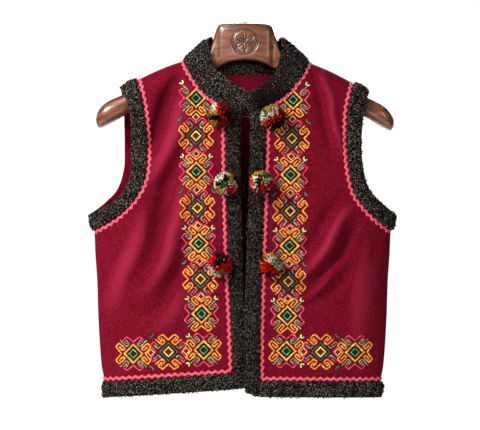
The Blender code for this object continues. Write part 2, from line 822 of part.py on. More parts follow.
def build_collar(fronts, back):
    """Stand collar, cut in one: a wall that stands on the neckline, leans in and laps left over right."""
    halves = {side: collar_columns(side, fronts[side], back) for side in ("right", "left")}
    columns = halves["right"] + halves["left"][-2::-1]
    bm = bmesh.new()
    outward = bm.verts.layers.float_vector.new("outward")
    grid = []
    for i, (foot, way, head) in enumerate(columns):
        rise = (head - foot).normalized()
        rise = (rise - way * rise.dot(way)).normalized()
        start = foot + rise * COLLAR_GAP + way * COLLAR_PROUD
        bulge = COLLAR_BULGE * ease(min(i, len(columns) - 1 - i) / 4.0)
        column = []
        for step in range(COLLAR_STEPS + 1):
            part = step / COLLAR_STEPS
            place = start.lerp(head, part) + way * bulge * 4.0 * part * (1.0 - part)
            column.append(bm.verts.new(place))
        grid.append(column)
    for one, two in zip(grid, grid[1:]):
        for step in range(COLLAR_STEPS):
            bm.faces.new((one[step], one[step + 1], two[step + 1], two[step]))
    bmesh.ops.triangulate(bm, faces=bm.faces, quad_method="FIXED")
    bm.normal_update()
    for vertex in bm.verts:
        vertex[outward] = vertex.normal
    for column, (foot, way, head) in zip(grid, columns):
        column[0][outward] = way
    thicken(bm, outward, lambda vertex: -COLLAR_THICKNESS)
    return finish("collar", bm, boucle)


def build_hanger():
    """Hanger turned and carved from one board: rounded sections from tip to tip."""
    bm = bmesh.new()
    stations = [(-x, *rest) for x, *rest in reversed(HANGER[1:])] + list(HANGER)
    rings = []
    for x, top, bottom, half_depth, square in stations:
        if x > LEFT_DROP[0][0]:
            drop = read_table(LEFT_DROP, x)
            top, bottom = top - drop, bottom - drop
        middle, half = (top + bottom) / 2.0, (top - bottom) / 2.0
        ring = []
        for i in range(HANGER_RING):
            angle = math.tau * (i + 0.5) / HANGER_RING
            across, up = math.cos(angle), math.sin(angle)
            y = math.copysign(abs(across) ** (2.0 / square), across) * half_depth
            z = math.copysign(abs(up) ** (2.0 / square), up) * half
            ring.append(bm.verts.new((x, y, middle + z)))
        rings.append(ring)
    for one, two in zip(rings, rings[1:]):
        for i in range(HANGER_RING):
            j = (i + 1) % HANGER_RING
            bm.faces.new((one[i], two[i], two[j], one[j]))
    bm.faces.new(rings[0])
    bm.faces.new(rings[-1])
    return finish("hanger", bm, wood)


def build_socket():
    """Brass bush that the hook screws into, let flush into the top of the hanger."""
    profile = (
        (SOCKET_RADIUS, LIFT),
        (SOCKET_RADIUS, SOCKET_HEIGHT),
        (SOCKET_BORE, SOCKET_HEIGHT),
        (SOCKET_BORE, LIFT),
    )
    bm = bmesh.new()
    points = [bm.verts.new((r, 0.0, z - 0.3)) for r, z in profile]
    for i in range(len(points)):
        bm.edges.new((points[i], points[(i + 1) % len(points)]))
    bmesh.ops.spin(
        bm, geom=bm.verts[:] + bm.edges[:], cent=(0, 0, 0), axis=(0, 0, 1), dvec=(0, 0, 0),
        angle=math.tau, steps=16, use_merge=True,
    )
    bmesh.ops.remove_doubles(bm, verts=bm.verts, dist=0.01)
    return finish("hook_socket", bm, brass)


def tree_of(names):
    """The evaluated solids of some objects, in metres, as one tree to measure distances to."""
    points, faces = [], []
    for name in names:
        mesh = bpy.data.objects[name].data
        start = len(points)
        points += [v.co.copy() for v in mesh.vertices]
        faces += [[start + i for i in p.vertices] for p in mesh.polygons]
    return BVHTree.FromPolygons(points, faces)


def seat(tree, x, z, radius):
    """The y, in millimetres, of a ball's centre when it is pushed back until it almost touches."""
    y = -120.0
    for _ in range(80):
        y += tree.find_nearest(Vector((x, y, z)) * MM)[3] / MM - radius - LIFT
    return y


def build_pompom(name, x, z, radius, tree):
    """Wool pompom: a tied core and locks of yarn that stand out of it, away from the cloth behind."""
    bm = bmesh.new()
    bmesh.ops.create_icosphere(bm, subdivisions=2, radius=POMPOM_CORE)
    roots = [f for f in bm.faces if f.calc_center_median().normalized().y < LOCK_TURN]
    bmesh.ops.inset_individual(bm, faces=roots, thickness=LOCK_GAP, use_even_offset=True)
    locks = bmesh.ops.extrude_discrete_faces(bm, faces=roots)["faces"]
    for i, lock in enumerate(locks):
        reach = radius * (1.0 - 0.05 * (i % 3))
        for vertex in lock.verts:
            vertex.co *= reach / vertex.co.length
    y = seat(tree, x, z, POMPOM_CORE)
    bmesh.ops.translate(bm, vec=(x, y, z), verts=bm.verts)
    return finish(name, bm, pompom_wool)


def build_hook(tree):
    """Wire hook that closes the neck: a bar across the gap, with its two ends sewn to the bands."""
    ends = [seat(tree, side * HOOK_REACH, HOOK_HEIGHT, HOOK_WIRE / 2.0) for side in (-1.0, 1.0)]
    route = []
    for i in range(HOOK_STEPS + 1):
        part = i / HOOK_STEPS
        bow = HOOK_BOW * math.sin(math.pi * part)
        route.append((between(-HOOK_REACH, HOOK_REACH, part), between(*ends, part) - bow, HOOK_HEIGHT))
    curve = bpy.data.curves.new("neck_hook", "CURVE")
    curve.dimensions = "3D"
    curve.bevel_depth = HOOK_WIRE / 2.0 * MM
    curve.bevel_resolution = 1
    curve.use_fill_caps = True
    spline = curve.splines.new("POLY")
    spline.points.add(len(route) - 1)
    for point, place in zip(spline.points, route):
        point.co = (*(Vector(place) * MM), 1.0)
    curve.materials.append(wire)
    obj = bpy.data.objects.new("neck_hook", curve)
    vest.objects.link(obj)
    return obj


for old in list(bpy.data.objects):
    bpy.data.objects.remove(old)
vest = bpy.data.collections.new("folk_vest")
bpy.context.scene.collection.children.link(vest)

wool = cloth_material("burgundy wool", (0.21, 0.009, 0.036), 0.85)
boucle = cloth_material("black boucle", (0.012, 0.011, 0.010), 0.95)
braid = cloth_material("coral braid", (0.83, 0.10, 0.14), 0.7)
pompom_wool = cloth_material("pompom wool", (0.60, 0.02, 0.01), 0.9)
wood = cloth_material("stained beech", (0.16, 0.055, 0.018), 0.3)
brass = cloth_material("brass", (0.55, 0.36, 0.14), 0.35, 1.0)
wire = cloth_material("blackened wire", (0.03, 0.03, 0.03), 0.4, 1.0)

fronts = {side: build_front(side) for side in ("right", "left")}
back_sheet = build_back()
build_collar(fronts, back_sheet)
build_hanger()
build_socket()
carriers = tree_of(
    [f"{piece}_{side}" for piece in ("front_panel", "front_band") for side in ("right", "left")]
    + ["collar", "braid_right_front", "braid_left_front"]
)
for pompom_name, pompom_x, pompom_z, pompom_radius in POMPOMS:
    build_pompom(pompom_name, pompom_x, pompom_z, pompom_radius, carriers)
build_hook(carriers)
for sheet in (*fronts.values(), back_sheet):
    sheet.free()
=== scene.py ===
"""Looks of the embroidered folk vest on its wooden hanger.

The frame holds the plain pieces. Here each gets its finished form. Places and sizes are in millimetres, in
the frame's own axes: +Z up, the front faces -Y, and the origin is on top of the hanger. Right and left are
the wearer's own, so the right front has negative X.
"""

import functools
import math

import bpy
import numpy as np
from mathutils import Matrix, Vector
from mathutils.bvhtree import BVHTree


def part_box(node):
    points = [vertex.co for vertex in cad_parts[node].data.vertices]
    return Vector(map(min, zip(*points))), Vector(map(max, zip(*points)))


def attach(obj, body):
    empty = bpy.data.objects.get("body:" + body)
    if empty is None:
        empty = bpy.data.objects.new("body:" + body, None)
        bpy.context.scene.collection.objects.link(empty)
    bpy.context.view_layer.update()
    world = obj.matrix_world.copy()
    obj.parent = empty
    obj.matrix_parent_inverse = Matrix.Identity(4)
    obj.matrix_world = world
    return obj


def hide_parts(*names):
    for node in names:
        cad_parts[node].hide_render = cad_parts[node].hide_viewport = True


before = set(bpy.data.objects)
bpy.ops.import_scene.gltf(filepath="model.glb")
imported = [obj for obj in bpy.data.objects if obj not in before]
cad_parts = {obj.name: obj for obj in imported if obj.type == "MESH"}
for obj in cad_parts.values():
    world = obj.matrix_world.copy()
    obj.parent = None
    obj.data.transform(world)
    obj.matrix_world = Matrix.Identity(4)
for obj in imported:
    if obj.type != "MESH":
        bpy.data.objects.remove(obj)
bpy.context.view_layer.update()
MM = 0.001
SIGN = {"right": -1, "left": 1}

# ----------------------------------------------------------
# Studio: a pale floor well below the hanging vest and a white surround. Most light comes from the upper
# left, a narrow spot reaches into the neck, and a long lens looks at the front from its own height.

VIEW_CENTRE = (-7.5, -288)  # x and z that the camera looks at
VIEW_WIDTH = 720
CAMERA_DISTANCE = 5000
SENSOR_WIDTH = 36
FLOOR_HEIGHT = -760
FLOOR_RADIUS = 1500
NECK_BEAM = 2.3
# kind, place, what it points at, size, watts
LIGHTS = {
    "key_light": ("AREA", (-1700, -1500, 1200), (0, 0, -288), 480, 86),
    "top_light": ("AREA", (-900, -1400, 2300), (0, 0, -288), 700, 14),
    "front_light": ("AREA", (-1100, -2100, 700), (0, 0, -288), 500, 32),
    "fill_light": ("AREA", (1100, -2400, 100), (0, 0, -288), 500, 5),
    "back_light": ("AREA", (600, 2300, 900), (0, 0, -288), 1500, 62),
    "neck_light": ("SPOT", (-200, -2300, 250), (-3, 30, -86), 15, 115),
}


def linear(code):
    """The linear red, green, blue and alpha of a hex sRGB colour."""
    parts = [int(code[i : i + 2], 16) / 255 for i in (1, 3, 5)]
    return (*(p / 12.92 if p <= 0.04045 else ((p + 0.055) / 1.055) ** 2.4 for p in parts), 1)


def add_node(tree, kind, stops=(), **settings):
    """Adds a shader node, or sets the shader, and gives its outputs. A capital marks an input."""
    node = tree.nodes["Principled BSDF"] if kind == "shader" else tree.nodes.new("ShaderNode" + kind)
    if kind == "Mix":
        node.data_type = "RGBA"
    inputs = {socket.identifier.replace(" ", "_"): socket for socket in node.inputs}
    for name, value in settings.items():
        if name[0].islower():
            setattr(node, name, value)
        elif isinstance(value, bpy.types.NodeSocket):
            tree.links.new(value, inputs[name])
        else:
            inputs[name].default_value = linear(value) if isinstance(value, str) else value
    for i, (place, colour) in enumerate(stops):
        elements = node.color_ramp.elements
        element = elements[i] if i < 2 else elements.new(place)
        element.position = place
        element.color = linear(colour)
    return node.outputs


def new_material(name):
    """A material, what adds nodes to it, and the Object and UV coordinates of the piece it is on."""
    material = bpy.data.materials.new(name)
    material.use_nodes = True
    add = functools.partial(add_node, material.node_tree)
    coordinates = add("TexCoord")
    return material, add, coordinates["Object"], coordinates["UV"]


world = bpy.data.worlds.new("white_surround")
bpy.context.scene.world = world
world.use_nodes = True
world.node_tree.nodes.clear()
add = functools.partial(add_node, world.node_tree)
surround = add("Background", Color="#FFFFFF", Strength=1.05)[0]
ambient = add("Background", Color="#F4F6FA", Strength=0.12)[0]
either = add("MixShader", Fac=add("LightPath")["Is Camera Ray"], Shader=ambient, Shader_001=surround)[0]
add("OutputWorld", Surface=either)
bpy.context.scene.view_settings.view_transform = "Standard"

view_place = Vector((VIEW_CENTRE[0], -CAMERA_DISTANCE, VIEW_CENTRE[1])) * MM
bpy.ops.object.camera_add(location=view_place, rotation=(math.radians(90), 0, 0))
camera = bpy.context.object
camera.data.sensor_width = SENSOR_WIDTH
camera.data.lens = SENSOR_WIDTH * CAMERA_DISTANCE / VIEW_WIDTH
camera.data.clip_end = 30
bpy.context.scene.camera = camera

for light_name, (kind, place, target, size, watts) in LIGHTS.items():
    turned = (Vector(target) - Vector(place)).to_track_quat("-Z", "Y").to_euler()
    bpy.ops.object.light_add(type=kind, location=Vector(place) * MM, rotation=turned)
    bpy.context.object.name = light_name
    light = bpy.context.object.data
    light.energy = watts
    if kind == "AREA":
        light.size = size * MM
    else:
        light.shadow_soft_size = size * MM
        light.spot_size = math.radians(NECK_BEAM)
        light.spot_blend = 1

bpy.ops.mesh.primitive_circle_add(
    vertices=96, radius=FLOOR_RADIUS * MM, fill_type="NGON", location=(0, 0, FLOOR_HEIGHT * MM)
)
floor = bpy.context.object
floor.name = "floor"
floor_paint, add, *_ = new_material("matt_white_floor")
add("shader", Base_Color="#EFEFED", Roughness=0.9)
floor.data.materials.append(floor_paint)

# ----------------------------------------------------------
# Body: the wool's outer face. Its outline is that of the frame's panels, from the same tables: distances
# are from the middle and heights from the origin. Both faces round off to the side and shoulder seams.

SEAM = 0.2  # half the gap between two panels where they are sewn together
SHOULDER_PEAK = -43
SHOULDER_FALL = {"right": 14, "left": 15.4}
NECK_HALF = 92
BACK_NECK_LOW = -76
CENTRE_BACK = 2
VEST_CENTRE = -3.75
UNDERARM = -311
NECK_CORNER = -126
HEM_AT_OPENING = {"right": -548.5, "left": -559.5}
HEM_AT_SIDE = -561.5
BACK_HEM_RISE = 12  # the back's hem is this much higher at its middle
BAND_WIDTH = 24
BRAID_WIDTH = 7.5
LAP = 3.4  # how far each front moves where the left laps over the right, low down
LAP_PLACE = (-280, 180, 75)  # where it starts, how far down it takes to close, and how wide it is
SHOULDER_CURL = (40, 26.5)  # how far down the cloth rounds off, beside the neck and at the arm
ARM_PLACE = 165
# height, and the distance or the depth there
SIDE = (
    (-565, 205.5), (-540, 206.5), (-512, 211.5), (-445, 216), (-385, 218), (-350, 220.5), (-311, 222.5),
    (-285, 226.5), (-200, 231), (-60, 236),
)
DEPTH = {
    "front": ((-565, 33), (-450, 37), (-300, 41), (-200, 41), (-120, 38), (-40, 36)),
    "back": ((-565, 30), (-450, 33), (-300, 36), (-180, 37), (-80, 35), (-40, 33)),
}
# height, trim line, cut edge
OPENING = {
    "right": (
        (-556, 18, -2), (-520, 18, -2), (-460, 20, -1), (-333, 25.5, 4.5), (-190, 28.5, 6.5),
        (-126, 29, 5.5),
    ),
    "left": (
        (-560, 21.7, 0.2), (-520, 21.7, 0), (-460, 22, -1.3), (-333, 25.5, 2.7), (-190, 30.6, 6.9),
        (-126, 30.7, 7.5),
    ),
}
# distance, height; the last point lies on the shoulder line
NECKLINE = {
    "right": ((29, -126), (45.7, -115.5), (63, -103), (76, -84.5), (85, -70), (90, None)),
    "left": ((30.7, -126), (51.7, -114), (69, -99.5), (84, -80), (90.5, -68), (94, None)),
}
NECK_ENDS = (-90, 94)
# cut edge's distance and height, trim line's distance and height
ARMHOLE = {
    ("front", "right"): (
        (230.3, -285, 226.2, -311), (208.5, -276, 191.7, -291), (184.5, -258, 162.7, -261),
        (170.3, -226.5, 148.5, -229.5), (169, -187.5, 146.1, -187.5), (171, -142.5, 149.3, -142.5),
        (176.3, -118.5, 153.8, -114), (186, None, 161.2, None),
    ),
    ("front", "left"): (
        (222.8, -285, 218.7, -311), (205, -270.5, 189, -287), (186, -250, 166, -259),
        (177, -222, 156.5, -227), (173.7, -187, 152.3, -187), (175.5, -150, 152.3, -146),
        (179.5, -124, 155.5, -120), (184.5, None, 163, None),
    ),
    ("back", "right"): (
        (230.3, -285, 226.2, -311), (211, -270, 195, -287), (192, -249, 172, -257),
        (182.5, -219, 160, -223), (181.4, -190, 158.3, -190), (181.8, -153, 158.4, -150),
        (183, -125, 159, -118), (186, None, 161.2, None),
    ),
    ("back", "left"): (
        (222.8, -285, 218.7, -311), (203.5, -270, 187.5, -287), (184.5, -249, 164.5, -257),
        (173, -219, 151, -223), (171, -190, 149, -190), (173, -153, 150.5, -150),
        (177.5, -125, 155.5, -120), (184.5, None, 163, None),
    ),
}
# Folds and creases: half-width, depth (a ridge's is negative), and the course down the cloth: x, height,
# x, height ...
CREASES = {
    "front": (
        (9.5, 12.5, -97, -58, -103, -83, -113, -100, -124, -128, -131, -155, -136, -176, -146, -205),
        (13, -7.5, -82, -88, -95, -128, -104, -165, -114, -190, -124, -208, -133, -226, -144, -250),
        (11, 9.5, -82, -168, -92, -190, -101, -208, -109, -226, -119, -244, -124, -262, -129, -285, -130,
         -300, -133, -318, -140, -345, -152, -370, -168, -398),
        (14, -6.5, -146, -272, -155, -298, -159, -316, -165, -335, -173, -352, -181, -370, -194, -402,
         -204, -440),
        (12, -7, -82, -220, -92, -250, -97, -280, -103, -300, -110, -318, -113, -337, -118, -355, -126,
         -372, -140, -392, -156, -412),
        (10.5, 8, -80, -310, -90, -345, -99, -370, -110, -388, -120, -406, -131, -424, -150, -448),
        (12, -4.5, -86, -388, -98, -412, -106, -430, -120, -450, -140, -468),
        (12, 3.5, -150, -418, -166, -446, -180, -480), (7, 2.5, -222, -318, -210, -334, -196, -352),
        (8, 1.6, -208, -460, -196, -490, -180, -520),
        (7, 6, 102, -58, 105, -83, 110, -105, 113, -128, 119, -155, 125, -176, 132, -204),
        (6.5, -6, 113, -58, 116, -83, 123, -100, 130, -118, 131, -137, 134, -155, 141, -176, 148, -205),
        (8.5, 5.5, 150, -250, 137, -268, 126, -280, 116, -298, 108, -316, 98, -335, 86, -350),
        (7.5, -8.5, 162, -268, 150, -283, 141, -298, 132, -316, 123, -335, 111, -352, 98, -368, 84, -384),
        (9, 9.5, 172, -286, 162, -305, 152, -325, 142, -345, 130, -360, 116, -376, 100, -394, 86, -408),
        (6, -5.5, 140, -352, 128, -370, 117, -388, 104, -402, 90, -416),
        (8.5, 6, 162, -352, 150, -375, 140, -391, 125, -406, 108, -419, 90, -432),
        (16, -4.5, 186, -320, 178, -380, 172, -440, 170, -490), (7, 2.5, 206, -310, 196, -338, 184, -366),
        (8, 1.6, 204, -450, 194, -486, 176, -522),
    ),
    "back": (
        (14, 3.5, -100, -75, -120, -132, -140, -190), (14, 3.5, 104, -75, 121, -127, 138, -180),
        (18, 3, -70, -170, -100, -250, -130, -330), (18, 3, 60, -180, 90, -265, 120, -350),
        (20, -3, -20, -300, -40, -420, -60, -540), (20, 3, 40, -320, 65, -432, 90, -545),
        (18, -2.5, -150, -400, -160, -472, -170, -545), (18, -2.5, 160, -380, 155, -462, 150, -545),
        (6, 1.8, -112, -80, -122, -115, -132, -150), (7, -1.3, -92, -92, -101, -146, -110, -200),
        (6, 1.8, 114, -80, 121, -120, 128, -160), (7, -1.3, 94, -96, 101, -143, 108, -190),
        (7, 1.2, -60, -112, -40, -131, -20, -150), (7, 1.2, 58, -110, 38, -129, 18, -148),
        (8, 1.4, -205, -330, -157, -362, -110, -395), (8, 1.4, 200, -325, 156, -352, 112, -380),
        (9, 1.2, -120, -420, -80, -445, -40, -470), (9, -1.2, 130, -410, 95, -445, 60, -480),
        (10, 1.3, -8, -200, -12, -265, -16, -330), (7, 1.2, 190, -450, 180, -490, 170, -530),
        (7, 1.2, -195, -455, -184, -490, -172, -525),
    ),
}


def between(low, high, part):
    return low + (high - low) * part


def ease(part):
    part = np.clip(part, 0, 1)
    return part * part * (3 - 2 * part)


def steps(count, power=None):
    """From 0 to 1 in steps that are finer at the end, or without a power, at both ends."""
    part = np.linspace(0, 1, count + 1)
    return (1 - np.cos(math.pi * part)) / 2 if power is None else 1 - (1 - part) ** power


def unit(ways):
    return ways / np.linalg.norm(ways, axis=-1, keepdims=True)


def spread(start, end, part):
    """A grid of points from one line to another."""
    return between(start[:, None], end[:, None], part[:, None])


def read_table(table, key, column=1):
    """One column of a table at key, which its first column holds in rising order, as a smooth curve."""
    knots, values = np.array([(row[0], row[column]) for row in table], float).T
    rows = np.arange(len(knots))
    before, after = np.maximum(rows - 1, 0), np.minimum(rows + 1, len(knots) - 1)
    slopes = (values[after] - values[before]) / (knots[after] - knots[before])
    i = np.clip(np.searchsorted(knots, key) - 1, 0, len(knots) - 2)
    span = knots[i + 1] - knots[i]
    t = np.clip((key - knots[i]) / span, 0, 1)
    rise = values[i + 1] - values[i]
    first, second = slopes[i] * span, slopes[i + 1] * span
    bend = (3 * rise - 2 * first - second) * t * t + (first + second - 2 * rise) * t * t * t
    return values[i] + first * t + bend


def smooth_line(points, count=12):
    """Close points along a Catmull-Rom curve through the given ones."""
    points = np.array(points, float)
    last = len(points) - 1
    t = (np.arange(count) / count)[:, None]
    parts = []
    for i in range(last):
        before, start, end, after = points[[max(i - 1, 0), i, i + 1, min(i + 2, last)]]
        square = (2 * before - 5 * start + 4 * end - after) * t * t
        cube = (3 * start - before - 3 * end + after) * t * t * t
        parts.append(0.5 * (2 * start + (end - before) * t + square + cube))
    return np.vstack((*parts, points[-1:]))


def distances_along(line):
    return np.concatenate(([0], np.cumsum(np.linalg.norm(np.diff(line, axis=0), axis=1))))


def along(line, distances):
    """The points at some distances from the start of a line, measured along it."""
    run = distances_along(line)
    return np.stack([np.interp(distances, run, column) for column in line.T], axis=-1)


def at_parts(line, part):
    return along(line, part * distances_along(line)[-1])


def shoulder_height(x):
    fall = np.where(x > 0, SHOULDER_FALL["left"], SHOULDER_FALL["right"])
    return SHOULDER_PEAK - fall * (x / NECK_HALF) ** 2


def side_x(side, height):
    return VEST_CENTRE + SIGN[side] * read_table(SIDE, height)


def crease_depth(face, x, z):
    total = np.zeros_like(x)
    for half_width, depth, *course in CREASES[face]:
        rising = np.reshape(course, (-1, 2))[::-1, ::-1]
        start, end = rising[0, 0], rising[-1, 0]
        lean = (read_table(rising, z + 1) - read_table(rising, z - 1)) / 2
        across = (x - read_table(rising, z)) / np.sqrt(1 + lean**2)
        part = np.clip((z - start) / (end - start), 0, 1)
        total += depth * np.sin(np.pi * part) ** 0.7 * np.exp(-((across / half_width) ** 2))
    return total


def roundness(x, z):
    """How much of the full depth the cloth has: none at a side or shoulder seam, all in the middle."""
    out = np.clip(np.abs(x - VEST_CENTRE) / read_table(SIDE, z), 0, 1)
    curl = between(*SHOULDER_CURL, np.clip((x / ARM_PLACE) ** 2, 0, 1))
    down = np.clip((shoulder_height(x) - z) / curl, 0, 1)
    return (1 - out**2.6) ** 0.55 * np.sqrt(1 - (1 - down) ** 2)


def cloth_y(face, side, x, z):
    """The y of the wool's outer face over a place in the front's or the back's own plane."""
    out = (read_table(DEPTH[face], z) - crease_depth(face, x, z)) * roundness(x, z)
    if face == "back":
        return SEAM + out
    start, fade, width = LAP_PLACE
    closing = ease((start - z) / fade) * ease(1 - np.abs(x) / width)
    return -SEAM - out - SIGN[side] * LAP * closing


def cloth_way(face, side, x, z):
    """The unit vectors that point straight out of the wool there."""
    step = 0.4
    x_slope = (cloth_y(face, side, x + step, z) - cloth_y(face, side, x - step, z)) / (2 * step)
    z_slope = (cloth_y(face, side, x, z + step) - cloth_y(face, side, x, z - step)) / (2 * step)
    way = unit(np.stack((x_slope, -np.ones_like(x_slope), z_slope), axis=-1))
    return way if face == "front" else -way


def on_cloth(face, side, x, z, height):
    """Points that lie height above the wool, and the ways out of it."""
    points, ways = np.stack((x, cloth_y(face, side, x, z), z), axis=-1), cloth_way(face, side, x, z)
    return points + ways * height, ways


def outline(side, rows, from_side=False):
    """A smooth line of x and z through points given by distance and height, the last on the shoulder."""
    points = [(SIGN[side] * x, shoulder_height(SIGN[side] * x) if z is None else z) for x, z in rows]
    if from_side:
        points[0] = (side_x(side, points[0][1]), points[0][1])
    return smooth_line(points)


def armhole_lines(face, side):
    """The cut edge and the trim line of one armhole, from the side seam to the shoulder, as x and z."""
    return [outline(side, [row[k : k + 2] for row in ARMHOLE[face, side]], True) for k in (0, 2)]


def back_hem_rise(x, z):
    """How much higher than at the side seams a line across the back lies: less the higher up it is."""
    out = (x - VEST_CENTRE) / read_table(SIDE, z)
    up = (z - HEM_AT_SIDE) / (UNDERARM - HEM_AT_SIDE)
    return BACK_HEM_RISE * np.clip(1 - out**2, 0, 1) * np.clip(1 - up, 0, 1)


def back_neck_height(x):
    end = np.where(x > CENTRE_BACK, NECK_ENDS[1], NECK_ENDS[0])
    part = (x - CENTRE_BACK) / (end - CENTRE_BACK)
    return between(BACK_NECK_LOW, shoulder_height(end), np.abs(part) ** 3)


# ----------------------------------------------------------
# Wool panels: two fronts and a back of milled burgundy wool, 2 mm thick, soft and slightly napped, with
# the creases of a garment that has been worn. Each edge ends inside the band that is sewn over it.

CLOTH = 2
UNDER_BAND = 20.5  # how far a panel reaches under a band; the band wraps over its edge
ROWS = (52, 36, 26)  # below the armhole, beside it, and beside the neckline
MAIN_COLUMNS = 54
STRIP_COLUMNS = 4
NECK_COLUMNS = 44
TOP_REACH = 90  # length of the armhole's trim line beside the neckline
FAR = 1000  # a distance too long to matter
FRONT_HANG = 130  # how far below the shoulder the rows follow its line, on a front
BACK_HANG = 150
HEM_CORNER_RISE = {"right": 3, "left": 7}  # of the cut edge, at the foot of the opening
NECK_CORNER_FALL = 11  # of the cut edge, at its top
# the face and side each is on, the node it stands for, width, length and area of its cut
PANELS = {
    "right_front_wool": ("front", "right", "front_panel_right", 226, 521, 94000),
    "left_front_wool": ("front", "left", "front_panel_left", 226, 521, 94000),
    "back_wool": ("back", "left", "back_panel", 448, 520, 200000),
}
YARN_PITCH = 1.3  # drawn coarser than the cloth's own 0.6, which is too fine to show
FLECK_SIZE = 2.1  # tufts of the nap, also drawn coarser than they are

# Milled melton: a fine twill under a short nap, matt, with painted shade in the crease hollows and painted
# light on their ridges.
wool, add, place, _ = new_material("burgundy_wool_melton")
folds = add("Attribute", attribute_name="hollow")["Fac"]
patches = add("TexNoise", Vector=place, Scale=16, Detail=4, Roughness=0.6)["Fac"]
fibres = add("TexNoise", Vector=place, Scale=900, Detail=3, Roughness=0.7, Distortion=0.6)["Fac"]
diagonal = add("Mapping", Vector=place, Rotation=(0, math.radians(52), 0))[0]
twill = add(
    "TexWave", Vector=diagonal, Scale=1 / (YARN_PITCH * MM) / 20, Distortion=1.6, Detail=2, Detail_Scale=6
)["Fac"]
tone = add("ValToRGB", ((0.3, "#570414"), (0.7, "#69081E")), Fac=patches)[0]
flecks = add("TexNoise", Vector=place, Scale=1 / (FLECK_SIZE * MM), Detail=2, Roughness=0.8)["Fac"]
speck = add("ValToRGB", ((0.34, "#45020F"), (0.5, "#600518"), (0.66, "#8A1632")), Fac=flecks)[0]
mixed = add("Mix", Factor_Float=0.6, A_Color=tone, B_Color=speck)[2]
# painted shade, darker in the hollows of the creases, and painted light, paler on their ridges
deep = add("MapRange", Value=folds, From_Min=3, From_Max=12, To_Max=0.6)[0]
hollowed = add("Mix", Factor_Float=deep, A_Color=mixed, B_Color="#220003")[2]
raised = add("MapRange", Value=folds, From_Min=-0.5, From_Max=-7, To_Max=0.42)[0]
painted_fold_shading = add("Mix", Factor_Float=raised, A_Color=hollowed, B_Color="#A82A4A")[2]
nap = add("Bump", Strength=0.35, Distance=0.0006, Height=fibres)[0]
weave = add("Bump", Strength=0.25, Distance=0.0004, Height=twill, Normal=nap)[0]
add("shader", Base_Color=painted_fold_shading, Normal=weave, Roughness=0.95, Specular_IOR_Level=0.05)
add("shader", Sheen_Weight=0.02, Sheen_Roughness=0.45, Sheen_Tint="#D9506E")


def faces_of_grid(present):
    """The faces of a grid of points, as the numbers of their corners, where all four are present."""
    number = np.arange(present.size).reshape(present.shape)
    corners = (number[:-1, :-1], number[:-1, 1:], number[1:, 1:], number[1:, :-1])
    faces = np.stack(corners, axis=-1).reshape(-1, 4)
    return faces[present.reshape(-1)[faces].all(axis=1)]


def turns_of(points, faces):
    """The corners of each face, and the cross product of its diagonals, which points outwards."""
    a, b, c, d = (points[faces[:, k]] for k in range(4))
    return a, b, c, d, np.cross(c - a, d - b)


def ways_of(points, faces, seams):
    """The outward unit vector at each point, level with the seam's plane where the point lies on a seam."""
    turns = turns_of(points, faces)[4]
    ways = np.zeros_like(points)
    for k in range(4):
        np.add.at(ways, faces[:, k], turns)
    ways[seams, 1] = 0
    return ways / np.maximum(np.linalg.norm(ways, axis=1, keepdims=True), 1e-9)


def new_piece(name, points, faces, material, sharp=50, node=None, slot=None):
    """A smooth-shaded object in metres, from points in millimetres. It may stand for a node."""
    mesh = bpy.data.meshes.new(name)
    mesh.from_pydata((points * MM).tolist(), [], faces)
    mesh.materials.append(material)
    mesh.shade_smooth()
    mesh.set_sharp_from_angle(angle=math.radians(sharp))
    piece = bpy.data.objects.new(name, mesh)
    bpy.context.scene.collection.objects.link(piece)
    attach(piece, "root")
    if node:
        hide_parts(node)
    return piece


def border_of(faces, count):
    """The first and the last point of each edge that only one face has."""
    starts, ends = faces.reshape(-1), np.roll(faces, -1, axis=1).reshape(-1)
    border = ~np.isin(ends * count + starts, starts * count + ends)
    return starts[border], ends[border]


def closed_wall(name, points, faces, ways, low, high, *finish):
    """A sheet of cloth with both its faces: high and low are their heights along each point's way."""
    used, numbered = np.unique(faces, return_inverse=True)
    faces, count = numbered.reshape(faces.shape), len(used)
    heights = (np.broadcast_to(height, len(points))[used, None] for height in (high, low))
    shape = np.vstack([points[used] + ways[used] * height for height in heights])
    a, b = border_of(faces, count)
    every = np.vstack((faces, faces[:, ::-1] + count, np.stack((b, a, a + count, b + count), axis=1)))
    return new_piece(name, shape, every.tolist(), *finish)


def opening_lines(side, heights):
    """The trim line and the cut edge of one front's opening at some heights, as x and z."""
    up = (heights - HEM_AT_OPENING[side]) / BAND_WIDTH
    rise = HEM_CORNER_RISE[side] * np.clip(1 - up, 0, 1)
    fall = NECK_CORNER_FALL * np.clip((heights - NECK_CORNER) / 20 + 1, 0, 1)
    trim, cut = (SIGN[side] * read_table(OPENING[side], heights, k) for k in (1, 2))
    return np.stack((trim, heights), axis=1), np.stack((cut, heights + rise - fall), axis=1)


